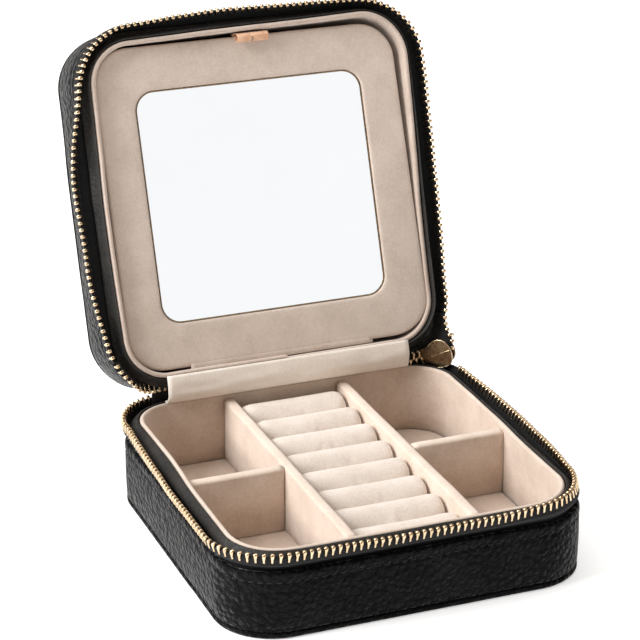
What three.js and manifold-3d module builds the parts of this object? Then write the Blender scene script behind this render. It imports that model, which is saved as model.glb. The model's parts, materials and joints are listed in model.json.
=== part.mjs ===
// A square zip-round travel jewelry case, standing open: leather base and lid,
// suede-lined tray with ring rolls, a mirror flap in the lid and a metal zip.
// Millimetres, +Z up. The origin is the middle of the base's underside, +X is
// the case's right, +Y is its hinged back.
import * as THREE from "three";
import { mergeVertices } from "three/addons/utils/BufferGeometryUtils.js";
import Module from "manifold-3d";

const wasm = await Module();
wasm.setup();
const { Manifold, Mesh: SolidMesh } = wasm;

// ---- driving sizes -------------------------------------------------------
const HALF_X = 57; // half the case's width over the leather
const HALF_Y = 57.5; // half its depth
const CORNER_R = 18.2; // outer corner radius
const FOOT = 1.1; // every height below is taken from this far above the underside
const PARTING_Z = 28.15; // height at which the two halves meet when zipped
const CORNER_STEPS = 9;
const GAP = 0.3; // between pieces that touch in the real case

const WALL_T = 2.2; // leather over board
const PANEL_T = 2.0;
const PANEL_EDGE_R = 0.8;
const WALL_TOP_Z = 20.0;
const LINING_INSET = 5.3; // from the outside of the wall to the lining's face
const LINING_T = 1.5;
const RIM_Z = 26.2; // top of the tray's lining
const ROW_INSET = -0.3; // the zip's row stands just outside the wall
const TAPE_T = 0.7;
const ROW_T = 1.5;
const ROW_H = 0.85;
const ROW_Z = 26.7;
const BACK_GAP_X = 42; // the zip stops here on the back; cloth takes over

const LID_ANGLE = 110; // how far the lid leans back at rest
const HINGE_Y = 53.9;
const HINGE_Z = 33.5;
const LID_RIM_Z = 29.4; // the lid's lining rim, with the lid shut

const DIVIDER_T = 3.5;
const DIVIDER_X = 19.25; // centre of each long divider
const DIVIDER_TOP_Z = 24.8;
const CROSS_Y = -1.5;
const FLOOR_T = 1.6 + FOOT;
const LID_BACK_T = 1.6;

const ROLL_COUNT = 8;
const ROLL_PITCH = 12.8;
const ROLL_R = 6.2;
const ROLL_TOP_Z = 24.1; // halfway along the row of rolls
const ROLL_CLIMB = 0.3; // how much higher each roll stands than the one before it
const ROLL_BASE_Z = 6.0;

const FLAP_INSET = 6.6;
const FLAP_FACE_Z = 32.2; // the flap's face, with the lid shut
const FRAME_T = 2.2;
const FLAP_BOARD_T = 1.6;
const WINDOW_X = 38.2; // half the mirror window
const WINDOW_Y = 36.8;
const WINDOW_R = 6.5;
const MIRROR_RECESS = 0.8;

// ---- materials -----------------------------------------------------------
const material = (color, roughness, metalness = 0) =>
  new THREE.MeshStandardMaterial({ color, roughness, metalness });
const leather = material(0x1f1f21, 0.55);
const collarLeather = material(0x2c2c2e, 0.6);
const wovenTape = material(0x0d0d0e, 0.85);
const gold = material(0xd8b77c, 0.28, 1);
const darkGold = material(0x8a6f45, 0.35, 1);
const suede = material(0xd9c2ab, 0.95);
const satin = material(0xd9a184, 0.35);
const mirrorGlass = material(0xeef1f4, 0.05, 1);

// ---- building helpers ----------------------------------------------------
const base = new THREE.Group();
const lid = new THREE.Group(); // holds the lid as it lies when shut
const caseGroup = new THREE.Group();
caseGroup.add(base);

const lidPivot = new THREE.Group();
lidPivot.position.set(0, HINGE_Y, HINGE_Z);
lidPivot.rotation.x = THREE.MathUtils.degToRad(-LID_ANGLE);
lid.position.set(0, -HINGE_Y, -HINGE_Z);
lidPivot.add(lid);
caseGroup.add(lidPivot);

function add(group, name, geometry, surface) {
  const mesh = new THREE.Mesh(geometry, surface);
  mesh.name = name;
  group.add(mesh);
  return mesh;
}

// Stations of the case's outline, walked counter-clockwise from the back gap
// on the right. Each is an arc centre and an outward direction, so an outline
// at any inset is exact.
function station(cx, cy, angle) {
  return { cx, cy, nx: Math.cos(angle), ny: Math.sin(angle) };
}

function loopStations(steps = CORNER_STEPS) {
  const ax = HALF_X - CORNER_R;
  const ay = HALF_Y - CORNER_R;
  const corners = [[ax, ay], [-ax, ay], [-ax, -ay], [ax, -ay]];
  const found = [];
  corners.forEach(([cx, cy], quarter) => {
    for (let i = 0; i <= steps; i += 1) {
      found.push(station(cx, cy, (quarter + i / steps) * Math.PI / 2));
    }
  });
  return found;
}

// The same outline left open across the back, between x = gap and x = -gap,
// or cut short where it would pass the line y = limitY.
function openStations(limitX, limitY = Infinity) {
  const ax = HALF_X - CORNER_R;
  const ay = HALF_Y - CORNER_R;
  const start = limitY < HALF_Y
    ? Math.asin((limitY - ay) / CORNER_R)
    : Math.PI / 2;
  const half = [];
  if (limitX < ax && limitY >= HALF_Y) {
    half.push(station(limitX, ay, Math.PI / 2));
  }
  for (let i = CORNER_STEPS; i >= 0; i -= 1) {
    half.push(station(ax, ay, start * i / CORNER_STEPS));
  }
  for (let i = 0; i <= CORNER_STEPS; i += 1) {
    half.push(station(ax, -ay, -(i / CORNER_STEPS) * Math.PI / 2));
  }
  const mirrored = half.map((s) => ({ cx: -s.cx, cy: s.cy, nx: -s.nx, ny: s.ny }));
  // from the right back, down the right side, across the front, up the left
  return [...half, ...mirrored.reverse()].reverse();
}

function outlinePoint(s, inset) {
  const r = CORNER_R - inset;
  return [s.cx + r * s.nx, s.cy + r * s.ny];
}

// A cross-section of [inset, z] points swept along the outline.
function band(section, stations, closed) {
  const turn = section.reduce((sum, [a, b], i) => {
    const [c, d] = section[(i + 1) % section.length];
    return sum + a * d - c * b;
  }, 0);
  const profile = turn < 0 ? section : [...section].reverse();
  const rows = stations.length;
  const across = profile.length;
  const points = [];
  for (const s of stations) {
    for (const [inset, z] of profile) {
      points.push(...outlinePoint(s, inset), z);
    }
  }
  const faces = [];
  const last = closed ? rows : rows - 1;
  for (let i = 0; i < last; i += 1) {
    for (let j = 0; j < across; j += 1) {
      const a = i * across + j;
      const b = i * across + (j + 1) % across;
      const c = ((i + 1) % rows) * across + j;
      const d = ((i + 1) % rows) * across + (j + 1) % across;
      faces.push(a, c, b, b, c, d);
    }
  }
  if (!closed) {
    const flat = profile.map(([x, y]) => new THREE.Vector2(x, y));
    const end = (rows - 1) * across;
    for (const triangle of THREE.ShapeUtils.triangulateShape(flat, [])) {
      const area = THREE.ShapeUtils.area(triangle.map((k) => flat[k]));
      const [a, b, c] = area < 0 ? triangle : [...triangle].reverse();
      faces.push(a, b, c);
      faces.push(end + a, end + c, end + b);
    }
  }
  const geometry = new THREE.BufferGeometry();
  geometry.setAttribute("position", new THREE.Float32BufferAttribute(points, 3));
  geometry.setIndex(faces);
  geometry.computeVertexNormals();
  return geometry;
}

function roundedRectangle(halfX, halfY, radius) {
  const shape = new THREE.Shape();
  const steps = [[1, 1, 0], [-1, 1, 1], [-1, -1, 2], [1, -1, 3]];
  for (const [sx, sy, quarter] of steps) {
    shape.absarc(
      sx * (halfX - radius),
      sy * (halfY - radius),
      radius,
      quarter * Math.PI / 2,
      (quarter + 1) * Math.PI / 2,
      false,
    );
  }
  shape.closePath();
  return shape;
}

function insetShape(inset) {
  return roundedRectangle(HALF_X - inset, HALF_Y - inset, CORNER_R - inset);
}

// A flat plate from a shape, its lower face at z.
function plate(shape, z, thickness, bevel = 0) {
  const geometry = new THREE.ExtrudeGeometry(shape, {
    depth: thickness - 2 * bevel,
    bevelEnabled: bevel > 0,
    bevelThickness: bevel,
    bevelSize: bevel,
    bevelOffset: -bevel,
    bevelSegments: 2,
    curveSegments: CORNER_STEPS,
  });
  geometry.translate(0, 0, z + bevel);
  return geometry;
}

// A cross-section of [y, z] points drawn out along X between two places.
function alongX(section, fromX, toX) {
  const shape = new THREE.Shape(section.map(([y, z]) => new THREE.Vector2(y, z)));
  const geometry = new THREE.ExtrudeGeometry(shape, {
    depth: toX - fromX,
    bevelEnabled: false,
    curveSegments: CORNER_STEPS,
  });
  // the shape's x, y and depth become the case's y, z and x
  geometry.applyMatrix4(new THREE.Matrix4().set(
    0, 0, 1, fromX,
    1, 0, 0, 0,
    0, 1, 0, 0,
    0, 0, 0, 1,
  ));
  return geometry;
}

// A thin sheet's cross-section: a smooth line through the points, thickened.
function sheetSection(points, thickness, steps) {
  const line = new THREE.CatmullRomCurve3(
    points.map(([y, z]) => new THREE.Vector3(y, z, 0)),
  );
  const one = [];
  const other = [];
  for (let i = 0; i <= steps; i += 1) {
    const at = line.getPoint(i / steps);
    const along = line.getTangent(i / steps);
    const off = thickness / 2;
    one.push([at.x - along.y * off, at.y + along.x * off]);
    other.push([at.x + along.y * off, at.y - along.x * off]);
  }
  return [...one, ...other.reverse()];
}

function solidOf(geometry) {
  const bare = new THREE.BufferGeometry();
  bare.setAttribute("position", geometry.getAttribute("position").clone());
  if (geometry.index) {
    bare.setIndex(geometry.index.clone());
  }
  const merged = mergeVertices(bare, 1e-4);
  return new Manifold(new SolidMesh({
    numProp: 3,
    vertProperties: new Float32Array(merged.getAttribute("position").array),
    triVerts: new Uint32Array(merged.index.array),
  }));
}

function geometryOf(solid) {
  const mesh = solid.getMesh();
  const geometry = new THREE.BufferGeometry();
  geometry.setAttribute(
    "position",
    new THREE.BufferAttribute(new Float32Array(mesh.vertProperties), 3),
  );
  geometry.setIndex(new THREE.BufferAttribute(new Uint32Array(mesh.triVerts), 1));
  geometry.computeVertexNormals();
  return geometry;
}

const shut = (z) => 2 * PARTING_Z - z; // a height in the base, mirrored into the lid

// ---- base shell ----------------------------------------------------------
const EDGE_R = 0.9;
const BASE_WALL_Z = PANEL_T + GAP - FOOT;
add(base, "base_bottom_panel", plate(insetShape(0), -FOOT, PANEL_T, PANEL_EDGE_R), leather);

const wallSection = [
  [0, BASE_WALL_Z],
  [0, WALL_TOP_Z - EDGE_R],
  [0.3 * EDGE_R, WALL_TOP_Z - 0.3 * EDGE_R],
  [EDGE_R, WALL_TOP_Z],
  [WALL_T, WALL_TOP_Z],
  [WALL_T, BASE_WALL_Z],
];
add(base, "base_side_wall", band(wallSection, loopStations(), true), leather);

// The woven tape climbs inside the wall, leans out over its top edge and
// stands straight under the metal row.
const TAPE_FOOT_Z = 13;
const TAPE_IN = WALL_T + GAP;
const FLARE_Z = 20.3;
const FLARE_END_Z = 23.7;
const TAPE_TOP_Z = ROW_Z - 0.05;
const tapeSection = [
  [TAPE_IN, TAPE_FOOT_Z],
  [TAPE_IN, FLARE_Z],
  [ROW_INSET - TAPE_T / 2, FLARE_END_Z],
  [ROW_INSET - TAPE_T / 2, TAPE_TOP_Z],
  [ROW_INSET + TAPE_T / 2, TAPE_TOP_Z],
  [ROW_INSET + TAPE_T / 2, FLARE_END_Z],
  [TAPE_IN + TAPE_T, FLARE_Z],
  [TAPE_IN + TAPE_T, TAPE_FOOT_Z],
];
add(base, "base_zip_tape", band(tapeSection, openStations(BACK_GAP_X), false), wovenTape);

const rowSection = [
  [ROW_INSET - ROW_T / 2, ROW_Z],
  [ROW_INSET - ROW_T / 2, ROW_Z + ROW_H],
  [ROW_INSET + ROW_T / 2, ROW_Z + ROW_H],
  [ROW_INSET + ROW_T / 2, ROW_Z],
];
const ROW_END_X = 40;
add(base, "base_zip_teeth", band(rowSection, openStations(ROW_END_X), false), gold);

// A leather-covered welt fills the gap between the lining and the tape. Its top
// falls away outward to a thin edge just above the tape's slope.
const COLLAR_BACK = LINING_INSET - LINING_T - GAP;
const COLLAR_BEVEL = 0.2;
const COLLAR_SHOULDER = COLLAR_BACK - 0.6; // where the top starts to fall away
const COLLAR_EDGE = 1.3;
const COLLAR_EDGE_Z = 23.0;
const COLLAR_EDGE_T = 0.3;
const COLLAR_HOLLOW = [2.65, 24.2]; // leaves room for the zip's slider
const collarEdge = [
  [COLLAR_EDGE, COLLAR_EDGE_Z],
  [COLLAR_EDGE + 0.05, COLLAR_EDGE_Z - COLLAR_EDGE_T],
];
const collarSection = [
  [COLLAR_BACK, FLARE_Z],
  [COLLAR_BACK, RIM_Z - COLLAR_BEVEL],
  [COLLAR_BACK - COLLAR_BEVEL, RIM_Z],
  [COLLAR_SHOULDER, RIM_Z],
  COLLAR_HOLLOW,
  ...collarEdge,
];
add(base, "base_collar", band(collarSection, loopStations(), true), collarLeather);

// ---- tray ----------------------------------------------------------------
const FLOOR_Z = BASE_WALL_Z;
const LINING_ROUND = 0.45;
function liningSection(low, high, rimAtHigh) {
  const face = LINING_INSET;
  const back = LINING_INSET - LINING_T;
  const round = LINING_ROUND;
  return rimAtHigh
    ? [[face, low], [face, high - round], [face - round, high], [back + round, high],
      [back, high - round], [back, low]]
    : [[face, high], [face, low + round], [face - round, low], [back + round, low],
      [back, low + round], [back, high]];
}
add(
  base,
  "tray_lining_wall",
  band(liningSection(FLOOR_Z, RIM_Z, true), loopStations(), true),
  suede,
);
add(base, "tray_floor", plate(insetShape(LINING_INSET + GAP), FLOOR_Z, FLOOR_T), suede);

const DIVIDER_FOOT_Z = FLOOR_Z + FLOOR_T + GAP;
const dividerHalfY = HALF_Y - LINING_INSET - GAP;
function slab(x0, x1, y0, y1, z0, z1) {
  const geometry = new THREE.BoxGeometry(x1 - x0, y1 - y0, z1 - z0);
  geometry.translate((x0 + x1) / 2, (y0 + y1) / 2, (z0 + z1) / 2);
  return geometry;
}
for (const [side, sign] of [["left", -1], ["right", 1]]) {
  const inner = sign * (DIVIDER_X - DIVIDER_T / 2);
  const outer = sign * (DIVIDER_X + DIVIDER_T / 2);
  add(
    base,
    `divider_${side}`,
    slab(
      Math.min(inner, outer),
      Math.max(inner, outer),
      -dividerHalfY,
      dividerHalfY,
      DIVIDER_FOOT_Z,
      DIVIDER_TOP_Z,
    ),
    suede,
  );
  const near = sign * (DIVIDER_X + DIVIDER_T / 2 + GAP);
  const far = sign * (HALF_X - LINING_INSET - GAP);
  add(
    base,
    `cross_divider_${side}`,
    slab(
      Math.min(near, far),
      Math.max(near, far),
      CROSS_Y - DIVIDER_T / 2,
      CROSS_Y + DIVIDER_T / 2,
      DIVIDER_FOOT_Z,
      DIVIDER_TOP_Z,
    ),
    suede,
  );
}

// ring rolls: padded bars side by side, round on top, on one bed board
const rollHalfX = DIVIDER_X - DIVIDER_T / 2 - GAP;
add(
  base,
  "ring_roll_bed",
  slab(-rollHalfX, rollHalfX, -dividerHalfY, dividerHalfY, DIVIDER_FOOT_Z, ROLL_BASE_Z - GAP),
  suede,
);
const ROLL_STEPS = 10;
for (let i = 0; i < ROLL_COUNT; i += 1) {
  const fromMiddle = (ROLL_COUNT - 1) / 2 - i;
  const y = fromMiddle * ROLL_PITCH;
  const crown = ROLL_TOP_Z - ROLL_R + fromMiddle * ROLL_CLIMB;
  const section = [[y - ROLL_R, ROLL_BASE_Z], [y + ROLL_R, ROLL_BASE_Z]];
  for (let k = 0; k <= ROLL_STEPS; k += 1) {
    const turn = Math.PI * k / ROLL_STEPS;
    section.push([y + ROLL_R * Math.cos(turn), crown + ROLL_R * Math.sin(turn)]);
  }
  add(base, `ring_roll_${i + 1}`, alongX(section, -rollHalfX, rollHalfX), suede);
}

// ---- lid, drawn shut and turned open by its group -------------------------
const LID_HEIGHT = 28.25; // from where the halves meet to the lid's top
const LID_TOP_Z = PARTING_Z + LID_HEIGHT;
add(
  lid,
  "lid_top_panel",
  plate(insetShape(0), LID_TOP_Z - PANEL_T, PANEL_T, PANEL_EDGE_R),
  leather,
);
const LID_WALL_TOP = LID_TOP_Z - PANEL_T - GAP;
const lidWallSection = wallSection.map(([inset, z]) => [
  inset,
  z === BASE_WALL_Z ? LID_WALL_TOP : shut(z),
]);
add(lid, "lid_side_wall", band(lidWallSection, loopStations(), true), leather);

// the lid's tape and row stop short of the hinge, where they turn soft
const LID_ZIP_END_Y = 46;
const mirrorSection = (section) => section.map(([inset, z]) => [inset, shut(z)]);
const lidRun = openStations(BACK_GAP_X, LID_ZIP_END_Y);
add(lid, "lid_zip_tape", band(mirrorSection(tapeSection), lidRun, false), wovenTape);
add(lid, "lid_zip_teeth", band(mirrorSection(rowSection), lidRun, false), gold);

// the lid's welt stands taller than the base's, with a hollow in its slope
const LID_COLLAR_Z = LID_RIM_Z + COLLAR_BEVEL;
const LID_HOLLOW = [2.4, LID_RIM_Z + 2.8];
const lidCollarSection = [
  [COLLAR_BACK, shut(FLARE_Z)],
  [COLLAR_BACK, LID_COLLAR_Z + COLLAR_BEVEL],
  [COLLAR_BACK - COLLAR_BEVEL, LID_COLLAR_Z],
  [COLLAR_SHOULDER + COLLAR_EDGE_T, LID_COLLAR_Z],
  LID_HOLLOW,
  ...mirrorSection(collarEdge),
];
add(lid, "lid_collar", band(lidCollarSection, loopStations(), true), collarLeather);
add(
  lid,
  "lid_lining_wall",
  band(liningSection(LID_RIM_Z, LID_WALL_TOP, false), loopStations(), true),
  suede,
);
add(
  lid,
  "lid_lining_back",
  plate(insetShape(LINING_INSET + GAP), LID_WALL_TOP - LID_BACK_T, LID_BACK_T),
  suede,
);

// ---- mirror flap in the lid ----------------------------------------------
const frameShape = insetShape(FLAP_INSET);
frameShape.holes.push(roundedRectangle(WINDOW_X, WINDOW_Y, WINDOW_R));
add(lid, "flap_frame", plate(frameShape, FLAP_FACE_Z, FRAME_T), suede);
add(
  lid,
  "flap_board",
  plate(insetShape(FLAP_INSET), FLAP_FACE_Z + FRAME_T + GAP, FLAP_BOARD_T),
  suede,
);
add(
  lid,
  "mirror_glass",
  plate(
    roundedRectangle(WINDOW_X - GAP, WINDOW_Y - GAP, WINDOW_R - GAP),
    FLAP_FACE_Z + MIRROR_RECESS,
    FRAME_T - MIRROR_RECESS,
  ),
  mirrorGlass,
);

// a short satin loop at the flap's front edge, drawn as its teardrop outline
const RIBBON_X0 = -3.3;
const RIBBON_X1 = 7.8;
const RIBBON_T = 0.45;
const RIBBON_STEPS = 24;
const ribbonY = -(HALF_Y - LINING_INSET) + 0.65;
// each point is how far in from the gap, and how far above the flap's face
const ribbonPath = [
  [-0.1, 2.0],
  [-0.1, -0.6],
  [0.1, -2.2],
  [1.1, -3.2],
  [2.4, -2.9],
  [2.7, -1.8],
  [1.6, -0.9],
  [0.85, -0.75],
];
const ribbonLoop = sheetSection(
  ribbonPath.map(([inward, above]) => [ribbonY + inward, FLAP_FACE_Z + above]),
  RIBBON_T,
  RIBBON_STEPS,
);
add(lid, "ribbon_loop", alongX(ribbonLoop, RIBBON_X0, RIBBON_X1), satin);

// the suede strip that hinges the flap to the lining, lying in the gap
const FLAP_STRIP_X = 31;
const FLAP_STRIP_T = 0.5;
const flapBackY = HALF_Y - FLAP_INSET;
const flapStripPath = [[-1.6, -0.6], [-0.2, -0.7], [0.6, -0.9]];
const flapStrip = sheetSection(
  flapStripPath.map(([back, above]) => [flapBackY + back, FLAP_FACE_Z + above]),
  FLAP_STRIP_T,
  6,
);
add(lid, "flap_hinge_strip", alongX(flapStrip, -FLAP_STRIP_X, FLAP_STRIP_X), suede);

// ---- cloth and leather that join the halves, as they hang with the lid open
const CLOTH_X0 = -40.3;
const CLOTH_X1 = 42.6;
const CLOTH_T = 0.8;
const trayBackY = HALF_Y - LINING_INSET;
// how far back of the tray's edge, and how far above its rim
const clothPath = [[0.2, 0.5], [-1.6, 2.8], [-2.7, 5.8], [-3.0, 8.3], [-2.7, 10.0]];
const hingeCloth = sheetSection(
  clothPath.map(([back, above]) => [trayBackY + back, RIM_Z + above]),
  CLOTH_T,
  10,
);
add(base, "inner_hinge_cloth", alongX(hingeCloth, CLOTH_X0, CLOTH_X1), suede);

const SPINE_X = 38;
const SPINE_T = 0.9;
// how far behind the case's back, and how far above the base's wall
const spinePath = [[-1.1, 0.8], [0.9, 2.2], [1.3, 4.2], [0.1, 6.4], [-1.4, 7.6]];
const spine = sheetSection(
  spinePath.map(([back, above]) => [HALF_Y + back, WALL_TOP_Z + above]),
  SPINE_T,
  12,
);
add(base, "outer_spine", alongX(spine, -SPINE_X, SPINE_X), leather);

// ---- zip slider, ring and pull -------------------------------------------
// In the slider's own frame x runs along the row towards its mouth, y points
// out of the case and z is up; it sits on the row at the right back corner.
const SLIDER_TURN = 38; // degrees round the corner from the right side
const SLIDER_TILT = 20; // degrees its mouth is pulled up by the lid's tape
const slider = new THREE.Group();
const sliderAngle = THREE.MathUtils.degToRad(SLIDER_TURN);
const rowRadius = CORNER_R - ROW_INSET;
slider.position.set(
  HALF_X - CORNER_R + rowRadius * Math.cos(sliderAngle),
  HALF_Y - CORNER_R + rowRadius * Math.sin(sliderAngle),
  PARTING_Z,
);
// turned about the upright so that its x runs clockwise along the row
slider.rotation.z = sliderAngle - Math.PI / 2;
caseGroup.add(slider);

const WING_T = 0.8;
const WING_IN = -1.7; // outer side of the inner wing
const WING_OUT = 1.15; // inner side of the outer wing
const WING_HALF = 5.6; // half its length
const TAIL_HALF_H = 1.9; // half height at the narrow end
const MOUTH_HALF_H = 1.6;
// one edge of the shield, narrow end to mouth, `h` its greatest height
function wingEdge(shape, h, side) {
  shape.bezierCurveTo(
    -3.6, side * (TAIL_HALF_H + 0.12 * h),
    -1.6, side * 0.82 * h,
    0.4, side * 0.94 * h,
  );
  shape.bezierCurveTo(
    2.6, side * h,
    WING_HALF - 0.3, side * 0.9 * h,
    WING_HALF, side * MOUTH_HALF_H,
  );
}
const WING_DOWN = 4.0;
const WING_UP = 3.4;
function wingShape() {
  const below = new THREE.Shape();
  below.moveTo(-WING_HALF, -TAIL_HALF_H);
  wingEdge(below, WING_DOWN, -1);
  const above = new THREE.Shape();
  above.moveTo(-WING_HALF, TAIL_HALF_H);
  wingEdge(above, WING_UP, 1);
  const steps = 6;
  return new THREE.Shape([...below.getPoints(steps), ...above.getPoints(steps).reverse()]);
}
// a shape drawn in the slider's x and z, given thickness in y from `from`
function upright(shape, from, thickness, steps = 6) {
  const geometry = new THREE.ExtrudeGeometry(shape, {
    depth: thickness,
    bevelEnabled: false,
    curveSegments: steps,
  });
  geometry.rotateX(Math.PI / 2);
  geometry.translate(0, from + thickness, 0);
  return geometry;
}
function wing(from) {
  const geometry = upright(wingShape(), from, WING_T);
  geometry.rotateY(-THREE.MathUtils.degToRad(SLIDER_TILT));
  return solidOf(geometry);
}
const innerWing = wing(WING_IN - WING_T);
const outerWing = wing(WING_OUT);
const POST_H = 0.8;
const POST_LAP = 0.1; // how far the post runs into each wing
const post = solidOf(
  slab(1.2, 4.0, WING_IN - POST_LAP, WING_OUT + POST_LAP, -POST_H / 2, POST_H / 2),
);
const ARCH_HALF = 3.2;
const ARCH_WIRE = 0.9;
const BAR_Y = 4.8;
const archOut = BAR_Y + ARCH_WIRE / 2;
const archFoot = WING_OUT + WING_T / 2;
const BAR_H = 1.0;
const archSolid = solidOf(
  slab(-ARCH_HALF, ARCH_HALF, archFoot, archOut, -BAR_H / 2, BAR_H / 2),
);
const archHole = solidOf(
  slab(
    -ARCH_HALF + ARCH_WIRE,
    ARCH_HALF - ARCH_WIRE,
    WING_OUT + WING_T,
    BAR_Y - ARCH_WIRE / 2,
    -BAR_H,
    BAR_H,
  ),
);
const sliderSolid = innerWing.add(outerWing).add(post).add(archSolid.subtract(archHole));
add(slider, "zip_slider_body", geometryOf(sliderSolid), darkGold);

const RING_R = 2.1;
const RING_WIRE = 0.4;
const ringDrop = RING_R - RING_WIRE - Math.hypot(ARCH_WIRE, BAR_H) / 2 - GAP;
const ring = new THREE.TorusGeometry(RING_R, RING_WIRE, 8, 24);
ring.rotateY(Math.PI / 2);
ring.translate(0, BAR_Y, -ringDrop);
add(slider, "zip_pull_ring", ring, darkGold);

const EYE_R = 1.0;
const HEAD_R = 1.8;
const PULL_T = 0.9;
const PULL_LENGTH = 19;
const PULL_HALF = 2.6;
const EYE_PLAY = 0.15; // between the ring's wire and the eye's edge
const eyeZ = -ringDrop - RING_R - (EYE_R - RING_WIRE - EYE_PLAY);
// the pull widens from its head to a round lower end
const pullShape = new THREE.Shape();
const waistZ = -PULL_LENGTH / 6;
const hipZ = -PULL_LENGTH / 3;
const endZ = PULL_HALF - PULL_LENGTH;
pullShape.absarc(0, 0, HEAD_R, 0, Math.PI, false);
pullShape.bezierCurveTo(-HEAD_R, waistZ, -PULL_HALF, hipZ, -PULL_HALF, endZ);
pullShape.absarc(0, endZ, PULL_HALF, Math.PI, 2 * Math.PI, false);
pullShape.bezierCurveTo(PULL_HALF, hipZ, HEAD_R, waistZ, HEAD_R, 0);
const eye = new THREE.Path();
eye.absarc(0, 0, EYE_R, 0, 2 * Math.PI, false);
pullShape.holes.push(eye);
const pull = upright(pullShape, BAR_Y - PULL_T / 2, PULL_T, 8);
pull.translate(0, 0, eyeZ);
add(slider, "zip_pull", pull, darkGold);

// the finished case stands with its underside at z = 0
caseGroup.position.z = FOOT;

export default caseGroup;
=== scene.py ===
"""Looks for a square zip-round travel jewelry case, standing open on a pale floor.

Lengths are in millimetres in this script and become metres when a mesh is made.
Heights are taken from FOOT above the floor, as in the CAD's own source.
The lid's pieces are drawn as they lie when it is shut, then turned open.
"""
import json
import math

import bmesh
import bpy
import numpy as np
from mathutils import Matrix, Vector, noise
from mathutils.geometry import tessellate_polygon


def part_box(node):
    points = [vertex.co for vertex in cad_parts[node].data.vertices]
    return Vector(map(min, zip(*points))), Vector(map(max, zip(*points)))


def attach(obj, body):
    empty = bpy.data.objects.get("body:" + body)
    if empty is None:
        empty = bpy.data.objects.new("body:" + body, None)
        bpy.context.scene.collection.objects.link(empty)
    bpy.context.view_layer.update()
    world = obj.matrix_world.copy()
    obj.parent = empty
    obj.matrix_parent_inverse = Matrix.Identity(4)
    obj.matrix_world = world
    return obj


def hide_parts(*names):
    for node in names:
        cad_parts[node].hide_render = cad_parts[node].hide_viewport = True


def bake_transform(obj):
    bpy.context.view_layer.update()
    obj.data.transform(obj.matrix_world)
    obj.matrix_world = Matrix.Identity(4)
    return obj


MM = 0.001
FOOT = 1.1
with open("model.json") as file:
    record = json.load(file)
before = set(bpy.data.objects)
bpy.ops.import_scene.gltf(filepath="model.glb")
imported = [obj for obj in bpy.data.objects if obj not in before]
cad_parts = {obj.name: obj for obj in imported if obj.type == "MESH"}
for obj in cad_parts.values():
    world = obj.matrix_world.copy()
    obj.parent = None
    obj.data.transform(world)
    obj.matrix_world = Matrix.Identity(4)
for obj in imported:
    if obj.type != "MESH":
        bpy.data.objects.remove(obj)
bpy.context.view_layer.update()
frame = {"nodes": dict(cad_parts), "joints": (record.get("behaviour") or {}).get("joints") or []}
scene = bpy.context.scene


def box_mm(node):
    low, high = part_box(node)
    foot = np.array([0, 0, FOOT])
    return np.array(low) / MM - foot, np.array(high) / MM - foot


def metres(point):
    """A place in the scene, in metres, from millimetres above the FOOT level."""
    return Vector((point[0], point[1], point[2] + FOOT)) * MM


# ---- camera ----------------------------------------------------------------
AZIMUTH = math.radians(-21.57)
ELEVATION = math.radians(22.04)
AIM = metres((-7.74, 2.1, 68.66))
DISTANCE = 741.2 * MM
LENS = 140.7

back = Vector((
    math.sin(AZIMUTH) * math.cos(ELEVATION),
    -math.cos(AZIMUTH) * math.cos(ELEVATION),
    math.sin(ELEVATION),
))
right = Vector((math.cos(AZIMUTH), math.sin(AZIMUTH), 0))
up = back.cross(right)
camera_data = bpy.data.cameras.new("camera")
camera_data.lens = LENS
camera_data.sensor_width = 36
camera = bpy.data.objects.new("camera", camera_data)
turn = Matrix((right, up, back)).transposed().to_4x4()
camera.matrix_world = Matrix.Translation(AIM + back * DISTANCE) @ turn
scene.collection.objects.link(camera)
scene.camera = camera
scene.view_settings.view_transform = "Standard"

# ---- sizes shared with the CAD frame ----------------------------------------
_, wall_high = box_mm("base_side_wall")
HALF_X, HALF_Y, WALL_TOP = wall_high
CORNER_R = 18.2
_, rim_high = box_mm("tray_lining_wall")
RIM_Z = rim_high[2]
PARTING_Z = 28.15
GAP = 0.3
WALL_T = 2.2
PANEL_T = 2.0
LINING_INSET = 5.3
LINING_T = 1.5
ROW_INSET = -0.3
TAPE_T = 0.7
TAPE_FOOT_Z = 13.0
TAPE_TOP_Z = 26.65
ZIP_PITCH = 2.13
FLAP_INSET = 6.6
FLAP_FACE_Z = 32.2
FRAME_T = 2.2
WINDOW = (38.2, 36.8, 6.5)

hinge = next(j for j in frame["joints"] if j["name"] == "lid_hinge")
_, HINGE_Y, HINGE_Z = np.array(hinge["pos_m"]) / MM - np.array([0, 0, FOOT])
LID_ANGLE = math.radians(-hinge["range_deg"][0])


def shut(z):
    return 2 * PARTING_Z - z


def to_open(points):
    """Points of the shut lid, turned to where the open lid has them."""
    p = np.array(points, float).reshape(-1, 3)
    dy = p[:, 1] - HINGE_Y
    dz = p[:, 2] - HINGE_Z
    c, s = math.cos(LID_ANGLE), math.sin(LID_ANGLE)
    return np.column_stack([p[:, 0], HINGE_Y + dy * c + dz * s, HINGE_Z - dy * s + dz * c])


# ---- mesh helpers -----------------------------------------------------------
def make(name, verts, faces, material, flat=False):
    """A mesh object from millimetres, its faces turned outward."""
    mesh = bpy.data.meshes.new(name)
    places = (np.array(verts, float) + (0, 0, FOOT)) * MM
    mesh.from_pydata(places.tolist(), [], [list(f) for f in faces])
    mesh.validate()
    work = bmesh.new()
    work.from_mesh(mesh)
    bmesh.ops.recalc_face_normals(work, faces=work.faces[:])
    work.to_mesh(mesh)
    work.free()
    if not flat:
        mesh.polygons.foreach_set("use_smooth", [True] * len(mesh.polygons))
    mesh.materials.append(material)
    obj = bpy.data.objects.new(name, mesh)
    scene.collection.objects.link(obj)
    return obj


def ripple(t, seed, reach=1.0):
    """A smooth, repeatable unevenness between about -1 and 1."""
    return noise.noise(Vector((t / reach, seed * 7.31, seed * 1.7))) * 1.6


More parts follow.
